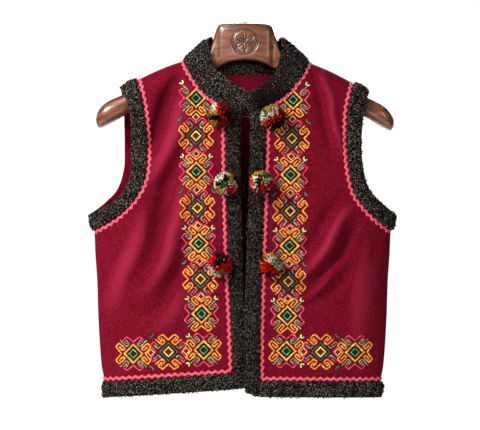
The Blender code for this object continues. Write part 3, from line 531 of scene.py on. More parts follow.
def front_wool(side):
    """A grid of x and z over one front, and which of its points lie on a seam. Missing points are NaN."""
    low, beside, top = (np.arange(n) / n for n in ROWS)
    top = 1 - (1 - np.append(top, 1)) ** 1.7
    edge, trim = armhole_lines("front", side)
    reach = distances_along(trim)[-1] - TOP_REACH
    lift = BAND_WIDTH - UNDER_BAND
    heights = between(HEM_AT_OPENING[side] + lift, UNDERARM, low)
    heights = np.append(heights, between(UNDERARM, NECK_CORNER, np.append(beside, 1)))
    opening, cut = opening_lines(side, heights)
    inner = np.vstack((opening[:-1], at_parts(outline(side, NECKLINE[side]), top)))
    side_heights = between(HEM_AT_SIDE + lift, UNDERARM, low)
    run = np.append(beside * reach, reach + top * TOP_REACH)
    outer = np.vstack((np.stack((side_x(side, side_heights), side_heights), axis=1), along(trim, run)))
    corner, underarm, rows = len(opening) - 1, ROWS[0], len(inner)

    part = steps(MAIN_COLUMNS, 1.5)
    main = spread(inner, outer, part)
    down = np.full(rows, float(FAR))
    down[underarm:] = run[-1] - run
    chord = between(shoulder_height(inner[:, :1]), shoulder_height(outer[:, :1]), part)
    main[..., 1] += ease(1 - down / FRONT_HANG)[:, None] * (shoulder_height(main[..., 0]) - chord)

    under = np.linspace(0, UNDER_BAND / BAND_WIDTH, STRIP_COLUMNS + 1)[1:]
    front_strip, arm_strip = np.full((2, rows, STRIP_COLUMNS, 2), np.nan)
    front_strip[: corner + 1] = spread(opening, cut, under[::-1])
    edges = at_parts(edge, run / run[-1])
    arm_strip[underarm:] = spread(outer[underarm:], edges, under)
    grid = np.concatenate((front_strip, main, arm_strip), axis=1)
    seams = np.zeros(grid.shape[:2], bool)
    seams[-1] = True
    seams[: underarm + 1, STRIP_COLUMNS + MAIN_COLUMNS] = True
    seams[underarm, STRIP_COLUMNS + MAIN_COLUMNS :] = True
    return grid, seams


def back_wool():
    """A grid of x and z over the back, from the right armhole to the left one, and its seam points."""
    underarm = ROWS[0]
    side_heights = between(HEM_AT_SIDE + BAND_WIDTH - UNDER_BAND, UNDERARM, np.arange(underarm) / underarm)
    halves = {}
    for side, neck_x in zip(SIGN, NECK_ENDS):
        edge, trim = armhole_lines("back", side)
        run = steps(ROWS[1] + ROWS[2], 1.5) * distances_along(trim)[-1]
        outer = np.vstack((np.stack((side_x(side, side_heights), side_heights), axis=1), along(trim, run)))
        down = np.append(np.full(underarm, FAR), run[-1] - run)
        hang = ease(1.2 - down / BACK_HANG)[:, None]
        x = between(neck_x, outer[:, :1], steps(MAIN_COLUMNS - 17, 1.6))
        fall = shoulder_height(outer[:, :1]) - outer[:, 1:]
        z = between(outer[:, 1:], shoulder_height(x) - fall, hang)
        z = z + back_hem_rise(x, z)
        strip = np.full((len(outer), STRIP_COLUMNS, 2), np.nan)
        edges = at_parts(edge, run / run[-1])
        under = np.linspace(0, 1, STRIP_COLUMNS + 1)[1:]
        strip[underarm:] = spread(outer[underarm:], edges, under)
        halves[side] = np.concatenate((np.stack((x, z), axis=-1), strip), axis=1), outer[:, 1:], fall
    part = np.linspace(0, 1, NECK_COLUMNS + 1)[None, 1:-1]
    part = between(part, (1 - np.cos(np.pi * part)) / 2, 0.6)
    x = between(*NECK_ENDS, part) + 0 * fall
    level, fall = (between(halves["right"][k], halves["left"][k], part) for k in (1, 2))
    z = between(level, back_neck_height(x) - fall, hang)
    z = z + back_hem_rise(x, z)
    right, left = halves["right"][0][:, ::-1], halves["left"][0]
    grid = np.concatenate((right, np.stack((x, z), axis=-1), left), axis=1)
    seams = np.zeros(grid.shape[:2], bool)
    seams[-1, : right.shape[1]] = seams[-1, -right.shape[1] :] = True
    for column in (STRIP_COLUMNS, -1 - STRIP_COLUMNS):
        seams[: underarm + 1, column] = True
    seams[underarm, : STRIP_COLUMNS + 1] = seams[underarm, -1 - STRIP_COLUMNS :] = True
    return grid, seams


def lay_out(face, side, grid, seams, seam=SEAM):
    """Points, outward faces and ways of the wool over a grid of x and z."""
    way_y = -1 if face == "front" else 1
    present = ~np.isnan(grid[..., 0])
    x, z = np.where(present[..., None], grid, 0).reshape(-1, 2).T
    seams = seams.reshape(-1)
    points = np.stack((x, np.where(seams, way_y * seam, cloth_y(face, side, x, z)), z), axis=1)
    faces = faces_of_grid(present)
    if turns_of(points, faces)[4][:, 1].sum() * way_y < 0:
        faces = faces[:, ::-1]
    return points, faces, ways_of(points, faces, seams & present.reshape(-1))


def points_of(piece):
    places = np.zeros(len(piece.data.vertices) * 3)
    piece.data.vertices.foreach_get("co", places)
    return places.reshape(-1, 3) / MM


def mark(piece, name, values):
    """Gives each point of a piece a number or a colour that its material reads."""
    layers, kind, key = piece.data.attributes, "FLOAT", "value"
    if values.ndim == 2:
        layers, kind, key = piece.data.color_attributes, "FLOAT_COLOR", "color"
    layer = layers.new(name=name, type=kind, domain="POINT")
    layer.data.foreach_set(key, values.astype(np.float32).reshape(-1))


panels = {}
for name, (face, side, node, *_) in PANELS.items():
    points, faces, ways = lay_out(face, side, *(front_wool(side) if face == "front" else back_wool()))
    panels[name] = closed_wall(name, points, faces, ways, -CLOTH, 0, wool, 40, node, "wool")
    x, _, z = points_of(panels[name]).T
    # the crease depth at each point, which the wool's colour turns into painted shade in hollows and
    # painted light on ridges
    mark(panels[name], "hollow", crease_depth(face, x, z))

# ----------------------------------------------------------
# Boucle bands: strips of curly black wool cloth, folded over the raw edge of the panel and sewn down, so
# they are full along the middle and roll over the edge. Curls of yarn stand out all over them.

LIFT = 0.3  # gap between a panel and the trim that lies on it
BAND_CROWN = 4.2
BAND_COLUMNS = 13
BAND_STEP = 2.1  # length of one cell along a band
WRAP_START = 0.87  # part of the width where a band starts to fold over the edge
LUMP = 0.5  # unevenness of the curly surface
HEM_LENGTHS = (200, 430)  # of a hem band on a front and on the back, about
SEAM_LAP = 0.15  # how far a band goes past the middle of a seam, to meet the next one
CURL_SPACING = 3.1
CURL_RADIUS = (0.95, 1.7)
CURL_YARN = 0.52
CURL_STEPS = 7
TUFT_SIZE = 2.5  # of the tufts that the curls lie in, dark between them
FRONT_DARKER = 0.28  # the yarn of the front bands

dice = np.random.default_rng(12)

# Boucle wool: small curls of black yarn with a few grey-brown fibres, matt. Its colour has painted
# highlights on the tufts, in a tone that differs at random, and painted shade in the hollows between them.
boucle, add, place, _ = new_material("black_boucle_wool")
stray = add("TexNoise", Vector=place, Scale=500, Detail=2)["Color"]
bend = add("VectorMath", Vector=stray, Scale=0.0022, operation="SCALE")[0]
bent = add("VectorMath", Vector=place, Vector_001=bend, operation="ADD")[0]
cells = add("TexVoronoi", Vector=bent, Scale=1 / (TUFT_SIZE * MM))
# painted highlight at the middle of each tuft, falling off to painted shade between tufts
tuft = add("MapRange", Value=cells["Distance"], From_Min=0.18, From_Max=0.6, To_Min=1, To_Max=0)[0]
chance = add("SeparateColor", Color=cells["Color"])[0]
pale = add("MapRange", Value=chance, To_Min=0.45, To_Max=1.15)[0]
tuft_light_and_tone = add("Math", Value=tuft, Value_001=pale, operation="MULTIPLY")[0]
# a random tone for each curl, less a darker tone on the front bands and painted shade over the left of the
# throat
tone = add("Attribute", attribute_name="paler")["Fac"]
strength = add("MapRange", Value=tone, From_Min=-0.8, To_Min=0.08, To_Max=1.25)[0]
share = add("Math", Value=tuft_light_and_tone, Value_001=strength, operation="MULTIPLY")[0]
fibres = add("TexNoise", Vector=place, Scale=1300, Detail=3, Roughness=0.75, Distortion=1.2)["Fac"]
yarn = add("ValToRGB", ((0, "#100E0C"), (0.2, "#463E38"), (0.5, "#857A70"), (1, "#C8BEB2")), Fac=share)[0]
hairs = add("ValToRGB", ((0.35, "#7A7672"), (0.58, "#FFFFFF")), Fac=fibres)[0]
mixed = add("Mix", blend_type="MULTIPLY", Factor_Float=0.7, A_Color=yarn, B_Color=hairs)[2]
loops = add("Bump", Strength=0.9, Distance=0.0016, Height=tuft)[0]
fuzz = add("Bump", Strength=0.6, Distance=0.0006, Height=fibres, Normal=loops)[0]
add("shader", Base_Color=mixed, Normal=fuzz, Roughness=0.85, Specular_IOR_Level=0.03)


def ring_faces(rings, around, closed=False):
    """The faces between rings of points that follow each other, each with the same number of points."""
    i = np.arange(rings if closed else rings - 1)[:, None]
    j = np.arange(around)[None, :]
    after, beside = (i + 1) % rings, (j + 1) % around
    corners = (i * around + j, i * around + beside, after * around + beside, after * around + j)
    return np.stack(np.broadcast_arrays(*corners), axis=-1).reshape(-1, 4)


def add_tubes(name, middles, first, second, radius, angles, *finish):
    """Many thin three-sided tubes as one mesh, round middles held by tube and ring."""
    count, rings = middles.shape[:2]
    sides = [middles + (first * math.cos(angle) + second * math.sin(angle)) * radius for angle in angles]
    starts = np.arange(count)[:, None, None] * 3 * rings
    last = 3 * rings - 1
    faces = (ring_faces(rings, 3) + starts).reshape(-1, 4).tolist()
    faces += (np.array([[2, 1, 0], [last - 2, last - 1, last]]) + starts).reshape(-1, 3).tolist()
    return new_piece(name, np.stack(sides, axis=2).reshape(-1, 3), faces, *finish)


def add_curls(name, points, faces, spacing=CURL_SPACING, darker=None):
    """Curls of yarn, as one mesh, spread evenly over some faces: each is most of a ring that stands up."""
    *corners, turns = turns_of(points, faces)
    turns = turns / 2
    areas = np.linalg.norm(turns, axis=1)
    count = int(areas.sum() / spacing**2)
    chosen = dice.choice(len(faces), count, p=areas / areas.sum())
    u, v = dice.random((2, count, 1))
    a, b, c, d = (corner[chosen] for corner in corners)
    place = between(between(a, b, u), between(d, c, u), v)
    way = turns[chosen] / areas[chosen, None]
    side = unit(np.cross(way, dice.normal(size=(count, 3))))
    lean = dice.uniform(-1, 1, (count, 1))
    up = way * np.cos(lean) + np.cross(side, way) * np.sin(lean)
    depth = np.cross(up, side)
    radius = dice.uniform(*CURL_RADIUS, (count, 1, 1))
    turn = np.linspace(0, 1, CURL_STEPS + 1) * dice.uniform(4.2, 5.6, (count, 1))
    turn = (turn + dice.uniform(-0.9, 0.5, (count, 1)))[..., None]
    outwards = np.cos(turn) * side[:, None] + np.sin(turn) * up[:, None]
    middles = (place + way * 0.35)[:, None] + outwards * radius
    finish = boucle, 180, None, "boucle"
    piece = add_tubes(name, middles, outwards, depth[:, None], CURL_YARN, (0.5, 2.6, 4.7), *finish)
    paler = dice.random(count) ** 1.25 - (darker(place) if darker else 0)
    mark(piece, "paler", np.repeat(paler, 3 * (CURL_STEPS + 1)))
    return piece


def add_band(name, node, face, side, trim, cut, seams_at, free_start=False, wraps=True, darker=0):
    """A boucle band between a trim line and a cut edge, given as x and z, with its curls."""
    part = between(0.0125, 0.9875 if wraps else 0.93, steps(BAND_COLUMNS))
    grid = spread(trim, cut, part)
    seams = np.zeros(grid.shape[:2], bool)
    seams[list(seams_at)] = True
    points, faces, ways = lay_out(face, side, grid, seams, -SEAM_LAP)
    lumps = dice.normal(0, 1, grid.shape[:2])
    lumps = (lumps + np.roll(lumps, 1, axis=0) + np.roll(lumps, 1, axis=1)) / 1.7
    ends = np.ones(len(grid))
    if free_start:
        run = distances_along((trim + cut) / 2)
        ends = np.sqrt(1 - (1 - np.clip(run / 6 + 0.02, 0, 1)) ** 2)
    full = np.sqrt(1 - np.abs(2 * part - 1) ** 2.6) * ends[:, None]
    high = (LIFT + 0.3 + (BAND_CROWN + LUMP * lumps) * full).reshape(-1)
    low = np.full(len(part), LIFT)
    if wraps:
        low[part >= WRAP_START] = -CLOTH - 0.3
        low[-1] = -CLOTH / 2
    low = np.tile(low, len(grid))
    band = closed_wall(name, points, faces, ways, low, high, boucle, 75, node, "boucle")
    outer = points + ways * high[:, None]
    curls = add_curls(name + "_curls", outer, faces, darker=lambda place: darker)
    mark(band, "paler", np.full(len(band.data.vertices), -float(darker)))
    return band


def steps_between(length, both_ends_fine=False):
    """Parts of a length, close together near an end that lies on a seam."""
    part = np.linspace(0, 1, max(int(length / BAND_STEP), 8) + 1)
    return between(part, (1 - np.cos(math.pi * part)) / 2, 0.8) if both_ends_fine else part


front_bands = []
for side, sign in SIGN.items():
    hem = HEM_AT_OPENING[side]
    lines = opening_lines(side, between(hem + LIFT, NECK_CORNER, steps_between(NECK_CORNER - hem)))
    names = f"{side}_front_band", f"front_band_{side}"
    front_bands.append(add_band(*names, "front", side, *lines, (), free_start=True, darker=FRONT_DARKER))
    part = 1 - (1 - steps_between(HEM_LENGTHS[0])) ** 1.6
    lines = []
    for rise in (BAND_WIDTH, 0):
        start = sign * (read_table(OPENING[side], hem + rise) + LIFT)
        x = between(start, side_x(side, HEM_AT_SIDE + rise), part)
        lines.append(np.stack((x, between(hem, HEM_AT_SIDE, part) + rise), axis=1))
    add_band(f"{side}_hem_band", f"hem_band_{side}", "front", side, *lines, (-1,))
    for face in ("front", "back"):
        edge, trim = armhole_lines(face, side)
        part = steps_between(distances_along(trim)[-1], both_ends_fine=True)
        lines = at_parts(trim, part), at_parts(edge, part)
        names = f"{side}_armhole_band_{face}", f"armhole_band_{side}_{face}"
        add_band(*names, face, side, *lines, (0, -1), wraps=face == "front")
part = steps_between(HEM_LENGTHS[1], both_ends_fine=True)
lines = []
for z in (HEM_AT_SIDE + BAND_WIDTH, HEM_AT_SIDE):
    x = between(side_x("right", z), side_x("left", z), part)
    lines.append(np.stack((x, z + back_hem_rise(x, z)), axis=1))
add_band("back_hem_band", "hem_band_back", "back", "left", *lines, (0, -1))

# ----------------------------------------------------------
# Collar: a low stand collar of the same boucle, cut in one. Its foot is sewn on just above the neckline,
# it leans in towards the neck, and at the front its left end laps over the right one.

COLLAR_THICKNESS = 4.5
COLLAR_PROUD = 2
COLLAR_GAP = 0.8  # above the ends of the front bands
COLLAR_LAP = 2.2  # over the raw edge of the neck, which lies between the collar's two layers
COLLAR_BULGE = 0.8
COLLAR_STEPS = 18
COLLAR_CUT = (45, 430)
# top edge, from its front end over the shoulder to the centre back: x, y, height
COLLAR_TOP = {
    "right": (
        (6, -31.5, -105), (-17, -31.5, -91), (-30, -30.5, -81), (-45.7, -25, -66.6), (-53.5, -14, -43),
        (-54, 1, -21), (-44, 18, -27), (-24, 25, -36), (CENTRE_BACK, 27, -40),
    ),
    "left": (
        (-4.2, -44, -118), (9, -41.5, -104), (24.5, -37, -94), (40, -31, -81), (52, -17, -52),
        (57, 1, -22), (47, 18, -27), (27, 25, -36), (CENTRE_BACK, 27, -40),
    ),
}
SHOULDER_POINT = 5  # the row of COLLAR_TOP that stands over the shoulder seam


def collar_half(side):
    """Points of the collar's foot, the ways out of the cloth, and its top, from its end to the back."""
    trim, cut = opening_lines(side, np.array([NECK_CORNER]))
    corner = between(cut, trim, np.linspace(0, 1, 13)[:-1, None])
    front = np.vstack((corner, at_parts(outline(side, NECKLINE[side]), steps(41, 1.6))))
    feet, ways = on_cloth("front", side, *front.T, 0)
    feet[-1, 1] = ways[-1, 1] = 0
    ways[-1] = unit(ways[-1])
    x = between(front[-1, 0], CENTRE_BACK, np.linspace(0, 1, 40)[1:] ** 1.6)
    back_feet, back_ways = on_cloth("back", side, x, back_neck_height(x - 1e-6 * SIGN[side]), 0)
    feet, ways = np.vstack((feet, back_feet)), np.vstack((ways, back_ways))
    top = smooth_line(COLLAR_TOP[side])
    turn, shoulder = SHOULDER_POINT * 12, len(front) - 1
    heads = []
    for run, span in ((top[: turn + 1], feet[: shoulder + 1]), (top[turn:], feet[shoulder:])):
        done = distances_along(span)
        heads.append(at_parts(run, done / done[-1]))
    return feet, ways, np.vstack((heads[0], heads[1][1:]))


def painted_throat_shade(place):
    """How much painted shade darkens the yarn over the left side of the throat, most of all in a patch low
    down.
    """
    x, y, z = place.T
    patch = np.exp(-(((x - 40) / 27) ** 2) - ((z + 118) / 17) ** 2)
    return 0.45 * ease((x - 5) / 15) * ease((12 - y) / 12) + 1.1 * patch


halves = zip(*(collar_half(side) for side in SIGN))
feet, foot_ways, heads = (np.vstack((right, left[-2::-1])) for right, left in halves)
rise = unit(heads - feet)
rise = unit(rise - foot_ways * (rise * foot_ways).sum(axis=1, keepdims=True))
from_end = distances_along(feet)
from_end = np.minimum(from_end, from_end[-1] - from_end)
foot = between(COLLAR_GAP, -COLLAR_LAP, ease((from_end - 25) / 12))
starts = feet + rise * foot[:, None] + foot_ways * COLLAR_PROUD
part = steps(COLLAR_STEPS)
grid = spread(starts, heads, part)
bulge = COLLAR_BULGE * ease(from_end / 40)[:, None] * 4 * part * (1 - part)
grid += foot_ways[:, None, :] * bulge[..., None]
points = grid.reshape(-1, 3)
faces = faces_of_grid(np.ones(grid.shape[:2], bool))
ways = ways_of(points, faces, np.zeros(len(points), bool))
if (ways.reshape(grid.shape) * foot_ways[:, None, :]).sum() < 0:
    faces, ways = faces[:, ::-1], -ways
ways.reshape(grid.shape)[:, 0] = foot_ways
ends = np.sqrt(1 - (1 - np.clip(from_end / 4 + 0.02, 0, 1)) ** 2)
rounded = np.sqrt(1 - np.abs(2 * part - 1) ** 6)[None, :] * ends[:, None]
half = COLLAR_THICKNESS / 2
high = (-half + (half + 0.5 + dice.normal(0, LUMP, rounded.shape)) * rounded).reshape(-1)
low = (-half - (half + dice.normal(0, 0.3, rounded.shape)) * rounded).reshape(-1)
collar = closed_wall("stand_collar", points, faces, ways, low, high, boucle, 75, "collar", "boucle")
# the collar's curls and body take painted shade over the left of the throat
outside = add_curls("stand_collar_curls", points + ways * high[:, None], faces, darker=painted_throat_shade)
mark(collar, "paler", -painted_throat_shade(points_of(collar)))
inside = add_curls("stand_collar_inner_curls", points + ways * low[:, None], faces[:, ::-1], 4.2)
cut = (COLLAR_CUT[0] * MM, COLLAR_CUT[1] * MM)

# ----------------------------------------------------------
# Rick-rack: a flat woven cotton braid whose two edges wave together, sewn beside every band.

BRAID_CLOTH = 4.7  # width of the woven braid itself
BRAID_WAVE = 1.25  # how far it waves to each side
BRAID_PITCH = 10
BRAID_STEP = 0.8
HALF_BRAID = BRAID_WIDTH / 2
# across, as parts of the width, and height: two rounded plaits side by side
BRAID_SECTION = np.array(
    ((-0.5, 0.35), (-0.38, 1.15), (-0.22, 1.35), (0, 1), (0.22, 1.35), (0.38, 1.15), (0.5, 0.35), (0, 0.1))
)

# Mercerised cotton braid: fine diagonal plaits, slightly glossy thread, with a painted highlight on their
# crests and painted shade between them.
rickrack, add, place, thread_place = new_material("coral_cotton_rickrack")
plaits = add(
    "TexWave", Vector=thread_place, Scale=0.42, Distortion=0.8, Detail=1, bands_direction="DIAGONAL"
)["Fac"]
patches = add("TexNoise", Vector=place, Scale=160, Detail=3, Roughness=0.6)["Fac"]
# painted highlight on the plaits' crests, painted shade in the grooves between them
painted_crest_light = add("ValToRGB", ((0.15, "#A2142E"), (0.6, "#F05468")), Fac=plaits)[0]
worn = add("ValToRGB", ((0.35, "#C62E48"), (0.7, "#F06A76")), Fac=patches)[0]
mixed = add("Mix", Factor_Float=0.5, A_Color=painted_crest_light, B_Color=worn)[2]
relief = add("Bump", Strength=0.6, Distance=0.0005, Height=plaits)[0]
add("shader", Base_Color=mixed, Normal=relief, Roughness=0.6, Sheen_Weight=0.1)


def beside(line, towards):
    """A line of x and z moved sideways by half the braid, towards a point."""
    ahead = np.gradient(line, axis=0)
    normal = unit(np.stack((-ahead[:, 1], ahead[:, 0]), axis=1))
    middle = len(line) // 2
    return line + normal * HALF_BRAID * np.sign((normal[middle] * (towards - line[middle])).sum())


def tube_faces(rings, around, start=0, turned=False):
    """The faces of a tube of rings of points, with one face over each end."""
    faces = ring_faces(rings, around).tolist()
    faces += [list(range(around))[::-1], [(rings - 1) * around + j for j in range(around)]]
    return [[start + number for number in (face[::-1] if turned else face)] for face in faces]


def map_threads(piece, spots):
    """A UV map that holds, in millimetres, how far along and across its thread each point of a piece is."""
    layer = piece.data.uv_layers.new(name="threads")
    corners = np.zeros(len(piece.data.loops), np.int32)
    piece.data.loops.foreach_get("vertex_index", corners)
    layer.data.foreach_set("uv", spots[corners].astype(np.float32).reshape(-1))


def add_rickrack(name, node, face, side, lines):
    """Wavy braid along some lines of x and z on the front or the back, as one piece."""
    shape, faces, spots = [], [], []
    around = len(BRAID_SECTION)
    across, height = BRAID_SECTION.T
    for line in lines:
        points, ways = on_cloth(face, side, *at_parts(line, steps(899)).T, 0)
        done = distances_along(points)
        run = np.linspace(0, done[-1], int(done[-1] / BRAID_STEP) + 1)
        points = along(points, run)
        ways = unit(np.stack([np.interp(run, done, column) for column in ways.T], axis=1))
        sideways = unit(np.cross(np.gradient(points, axis=0), ways))
        phase = math.tau * run / BRAID_PITCH
        wave = BRAID_WAVE * (np.sin(phase) - 0.08 * np.sin(3 * phase))
        place = (wave[:, None] + across * BRAID_CLOTH)[..., None]
        rings = points[:, None] + sideways[:, None] * place + ways[:, None] * (height + 0.15)[:, None]
        faces += tube_faces(len(rings), around, around * sum(map(len, shape)))
        shape.append(rings)
        spots.append(np.stack(np.broadcast_arrays(run[:, None], across * BRAID_CLOTH), axis=-1))
    points, spots = (np.vstack(rows).reshape(-1, rows[0].shape[-1]) for rows in (shape, spots))
    piece = new_piece(name, points, faces, rickrack, 70, node, "braid")
    map_threads(piece, spots)
    return piece


braids = {"right": [], "left": [], "back": []}
for side, sign in SIGN.items():
    inside = np.array((sign * 110, -260))
    neck = beside(outline(side, NECKLINE[side]), inside)
    heights = np.linspace(NECK_CORNER - 2, HEM_AT_OPENING[side] + BAND_WIDTH + HALF_BRAID, 200)
    opening, _ = opening_lines(side, heights)
    part = steps(99, 1.6)
    z = between(HEM_AT_OPENING[side], HEM_AT_SIDE, part) + BAND_WIDTH + HALF_BRAID
    x = between(opening[-1, 0] + sign * HALF_BRAID, side_x(side, z[-1]), part)
    lines = (neck, beside(opening, inside), np.stack((x, z), axis=1))
    braids[side].append(add_rickrack(f"{side}_front_rickrack", f"braid_{side}_front", "front", side, lines))
    for face, node, sheet in (("front", "armhole", side), ("back", "back_armhole", "back")):
        lines = (beside(armhole_lines(face, side)[1], np.array((sign * 60, -240))),)
        names = f"{side}_armhole_rickrack_{face}", f"braid_{side}_{node}"
        braids[sheet].append(add_rickrack(*names, face, side, lines))
part = steps(199)
z = HEM_AT_SIDE + BAND_WIDTH + HALF_BRAID
hem_x = between(side_x("right", z), side_x("left", z), part)
neck_x = between(NECK_ENDS[0] - 3, NECK_ENDS[1] + 3, part)
neck_z = np.minimum(back_neck_height(neck_x) - HALF_BRAID - 1, shoulder_height(neck_x) - 0.6)
for place, x, z in (("hem", hem_x, z + back_hem_rise(hem_x, z)), ("neck", neck_x, neck_z)):
    names = f"back_{place}_rickrack", f"braid_back_{place}"
    braids["back"].append(add_rickrack(*names, "back", "left", (np.stack((x, z), axis=1),)))

# ----------------------------------------------------------
# Embroidery: two traditional eight-pointed motifs in cotton floss, worked by turns in a column down each
# front and a row above its hem. Each shape is padded satin stitch, so it stands up from the wool.

# the tones of each thread: at a stitch's edges, which lie in shade and carry painted shade, beside its
# crown, and on its crown, which carries a painted highlight
FLOSS = {
    "orange": ("#420A02", "#CC440A", "#FFB648"),
    "amber": ("#4A1204", "#D65E08", "#FFD05A"),
    "yellow": ("#4C2004", "#DE8C12", "#F8E26C"),
    "pink": ("#430410", "#BC0E34", "#F0566E"),
    "hook": ("#050905", "#1C3218", "#AEBE86"),
    "leaf": ("#030C05", "#125026", "#7CCB82"),
    "grey": ("#080908", "#2A342B", "#8B9C88"),
    "sprig": ("#08110D", "#1C3A30", "#64897C"),
    "cream": ("#332D10", "#CDBB72", "#EFEBB4"),
    "link": ("#5A1608", "#DC8A50", "#F2D49A"),
    "ink": ("#0B0B09",) * 3,
    "bottle": ("#0E1E0D",) * 3,
    "maroon": ("#5A0C06",) * 3,
    "navy": ("#1A1430", "#2A2344", "#3A3258"),
}
FLOSS_TONES = ("floss_edge", "floss_beside", "floss_crown")
STITCH_HEIGHT = 0.9
FLOSS_SPACING = 0.55  # one thread beside the next
CORNER = 1.3  # how far before a corner a line of stitches starts to turn
# across, as parts of the width, height, as parts of the stitch's height, and how far out of the middle
SATIN_SECTION = np.array(
    ((-0.5, 0.1, 1), (-0.28, 0.72, 0.56), (0, 1, 0), (0.28, 0.72, 0.56), (0.5, 0.1, 1), (0, -0.12, 1))
)
# Shapes of a motif, from its middle. A diamond: colour, width or 0 where it is filled, half its diagonal,
# height. A line: colour, width, how it is mirrored, height, and its points: x, z, x, z ...
STAR = (
    (("ink", 0, 12.8, 0.45), ("amber", 4.2, 13.6, 1), ("leaf", 2.7, 6.2, 0.95), ("bottle", 0, 4.6, 0.6),
     ("maroon", 0, 2.4, 0.9)),
    (
        ("orange", 4, "high", 1, 0, 17.8, 10.1, 26.2, 15.6, 21.4, 7.7, 12.4, 4.4, 15.6, 10.4, 21.2),
        ("orange", 4, "low", 1, 0, -17.8, 10.1, -26.2, 15.6, -21.4, 7.7, -12.4, 4.4, -15.6, 10.4, -21.2),
        ("pink", 3.3, "both", 0.9, 17.4, 0, 25.4, 9.6, 20.3, 15.2, 14, 9.4),
        ("hook", 3.3, "both", 0.85, 20, 19.6, 10.3, 10.6, 13.8, 5.8, 20.3, 11.2),
        ("cream", 3.3, "buds", 1, 21, 26.3, 19.1, 24.7, 19.7, 21.9, 22.4, 21.1, 24.3, 22.8),
        ("bottle", 2.2, "buds", 0.7, 21.9, 23.9, 23.6, 25.6),
    ),
)
ROSETTE = (
    (("ink", 0, 15.6, 0.4), ("grey", 1.6, 13.2, 0.8), ("yellow", 3.6, 7, 1), ("maroon", 0, 5.6, 0.7)),
    (
        ("orange", 3.9, "both", 1, 18, 0, 26.2, 8.6, 21.4, 15.5, 15.2, 9.6),
        ("orange", 3.9, "both", 1, 21.3, 11.3, 14.8, 4.9, 10.6, 9.8, 18.8, 19.4),
        ("pink", 3.3, "both", 0.9, 0, 19.3, 9.4, 26.8, 15.3, 22.4, 9.4, 16),
        ("hook", 3.3, "both", 0.85, 10.6, 22.2, 4.8, 15.6, 8.5, 11.8),
        ("sprig", 3.6, "buds", 0.8, 27, 22.9, 24.1, 23.3, 22.3, 25.1, 21.9, 28),
    ),
)
LINK_DIAMOND = (("link", 2.4, 5, 0.9), ("maroon", 0, 4.4, 0.6))
# x and height of the middles; stars and rosettes take turns, and each row starts with a star
COLUMN = {
    "right": (
        (-72.9, -114), (-72.9, -170.1), (-72.5, -223.5), (-70.8, -277.5), (-69, -330), (-66.3, -383.4),
        (-64.7, -435),
    ),
    "left": (
        (71.6, -116.7), (69.9, -174), (67.8, -228), (67.2, -282), (66.3, -333.8), (64.4, -386.7),
        (63, -438),
    ),
}
HEM_ROW = {
    "right": ((-61.5, -489), (-114, -492), (-166.5, -495)),
    "left": ((61.5, -490.5), (112.5, -492), (164.1, -492.9)),
}
MARKING = {  # a line of dark basting thread beside the braid: its x and height at each end
    "right": ((-39.6, -166), (-37.4, -226), (-37.8, -340)),
    "left": ((39.6, -258), (38.4, -300), (38, -338)),
}

# Six-strand cotton floss in satin stitch: fine parallel threads. Its colour has a painted highlight along
# each stitch's crown, painted shade at its edges and in the grooves between threads, and a painted,
# slightly uneven shine.
floss_thread, add, place, thread_place = new_material("satin_stitched_cotton_floss")
edge, side_tone, crown = (add("Attribute", attribute_name=name)["Color"] for name in FLOSS_TONES)
out = add("Attribute", attribute_name="out_of_middle")["Fac"]
share = add("MapRange", Value=out, From_Min=0.1, From_Max=0.46, To_Min=0.25)[0]
floss = add("Mix", Factor_Float=share, A_Color=crown, B_Color=side_tone)[2]
thread_scale = 1 / FLOSS_SPACING / 6.2
threads = add("TexWave", Vector=thread_place, Scale=thread_scale, Distortion=0.5, Detail=1)["Fac"]
uneven = add("TexNoise", Vector=place, Scale=240, Detail=3, Roughness=0.65)["Fac"]
# painted shade in the grooves between threads, and a painted shine on patches of the crown
painted_groove_shade = add("HueSaturation", Saturation=1.12, Value=0.55, Color=floss)[0]
painted_shine = add("HueSaturation", Saturation=0.95, Value=1.3, Color=crown)[0]
grooves = add("Mix", Factor_Float=threads, A_Color=painted_groove_shade, B_Color=floss)[2]
share = add("MapRange", Value=uneven, From_Min=0.48, From_Max=0.7, To_Max=0.8)[0]
mixed = add("Mix", Factor_Float=share, A_Color=grooves, B_Color=painted_shine)[2]
# painted shade at the stitch's edges
shaded = add("MapRange", Value=out, From_Min=0.56, From_Max=0.72)[0]
edged = add("Mix", Factor_Float=shaded, A_Color=mixed, B_Color=edge)[2]
relief = add("Bump", Strength=0.7, Distance=0.0004, Height=threads)[0]
add("shader", Base_Color=edged, Normal=relief, Roughness=0.5, Specular_IOR_Level=0.15, Anisotropic=0.3)


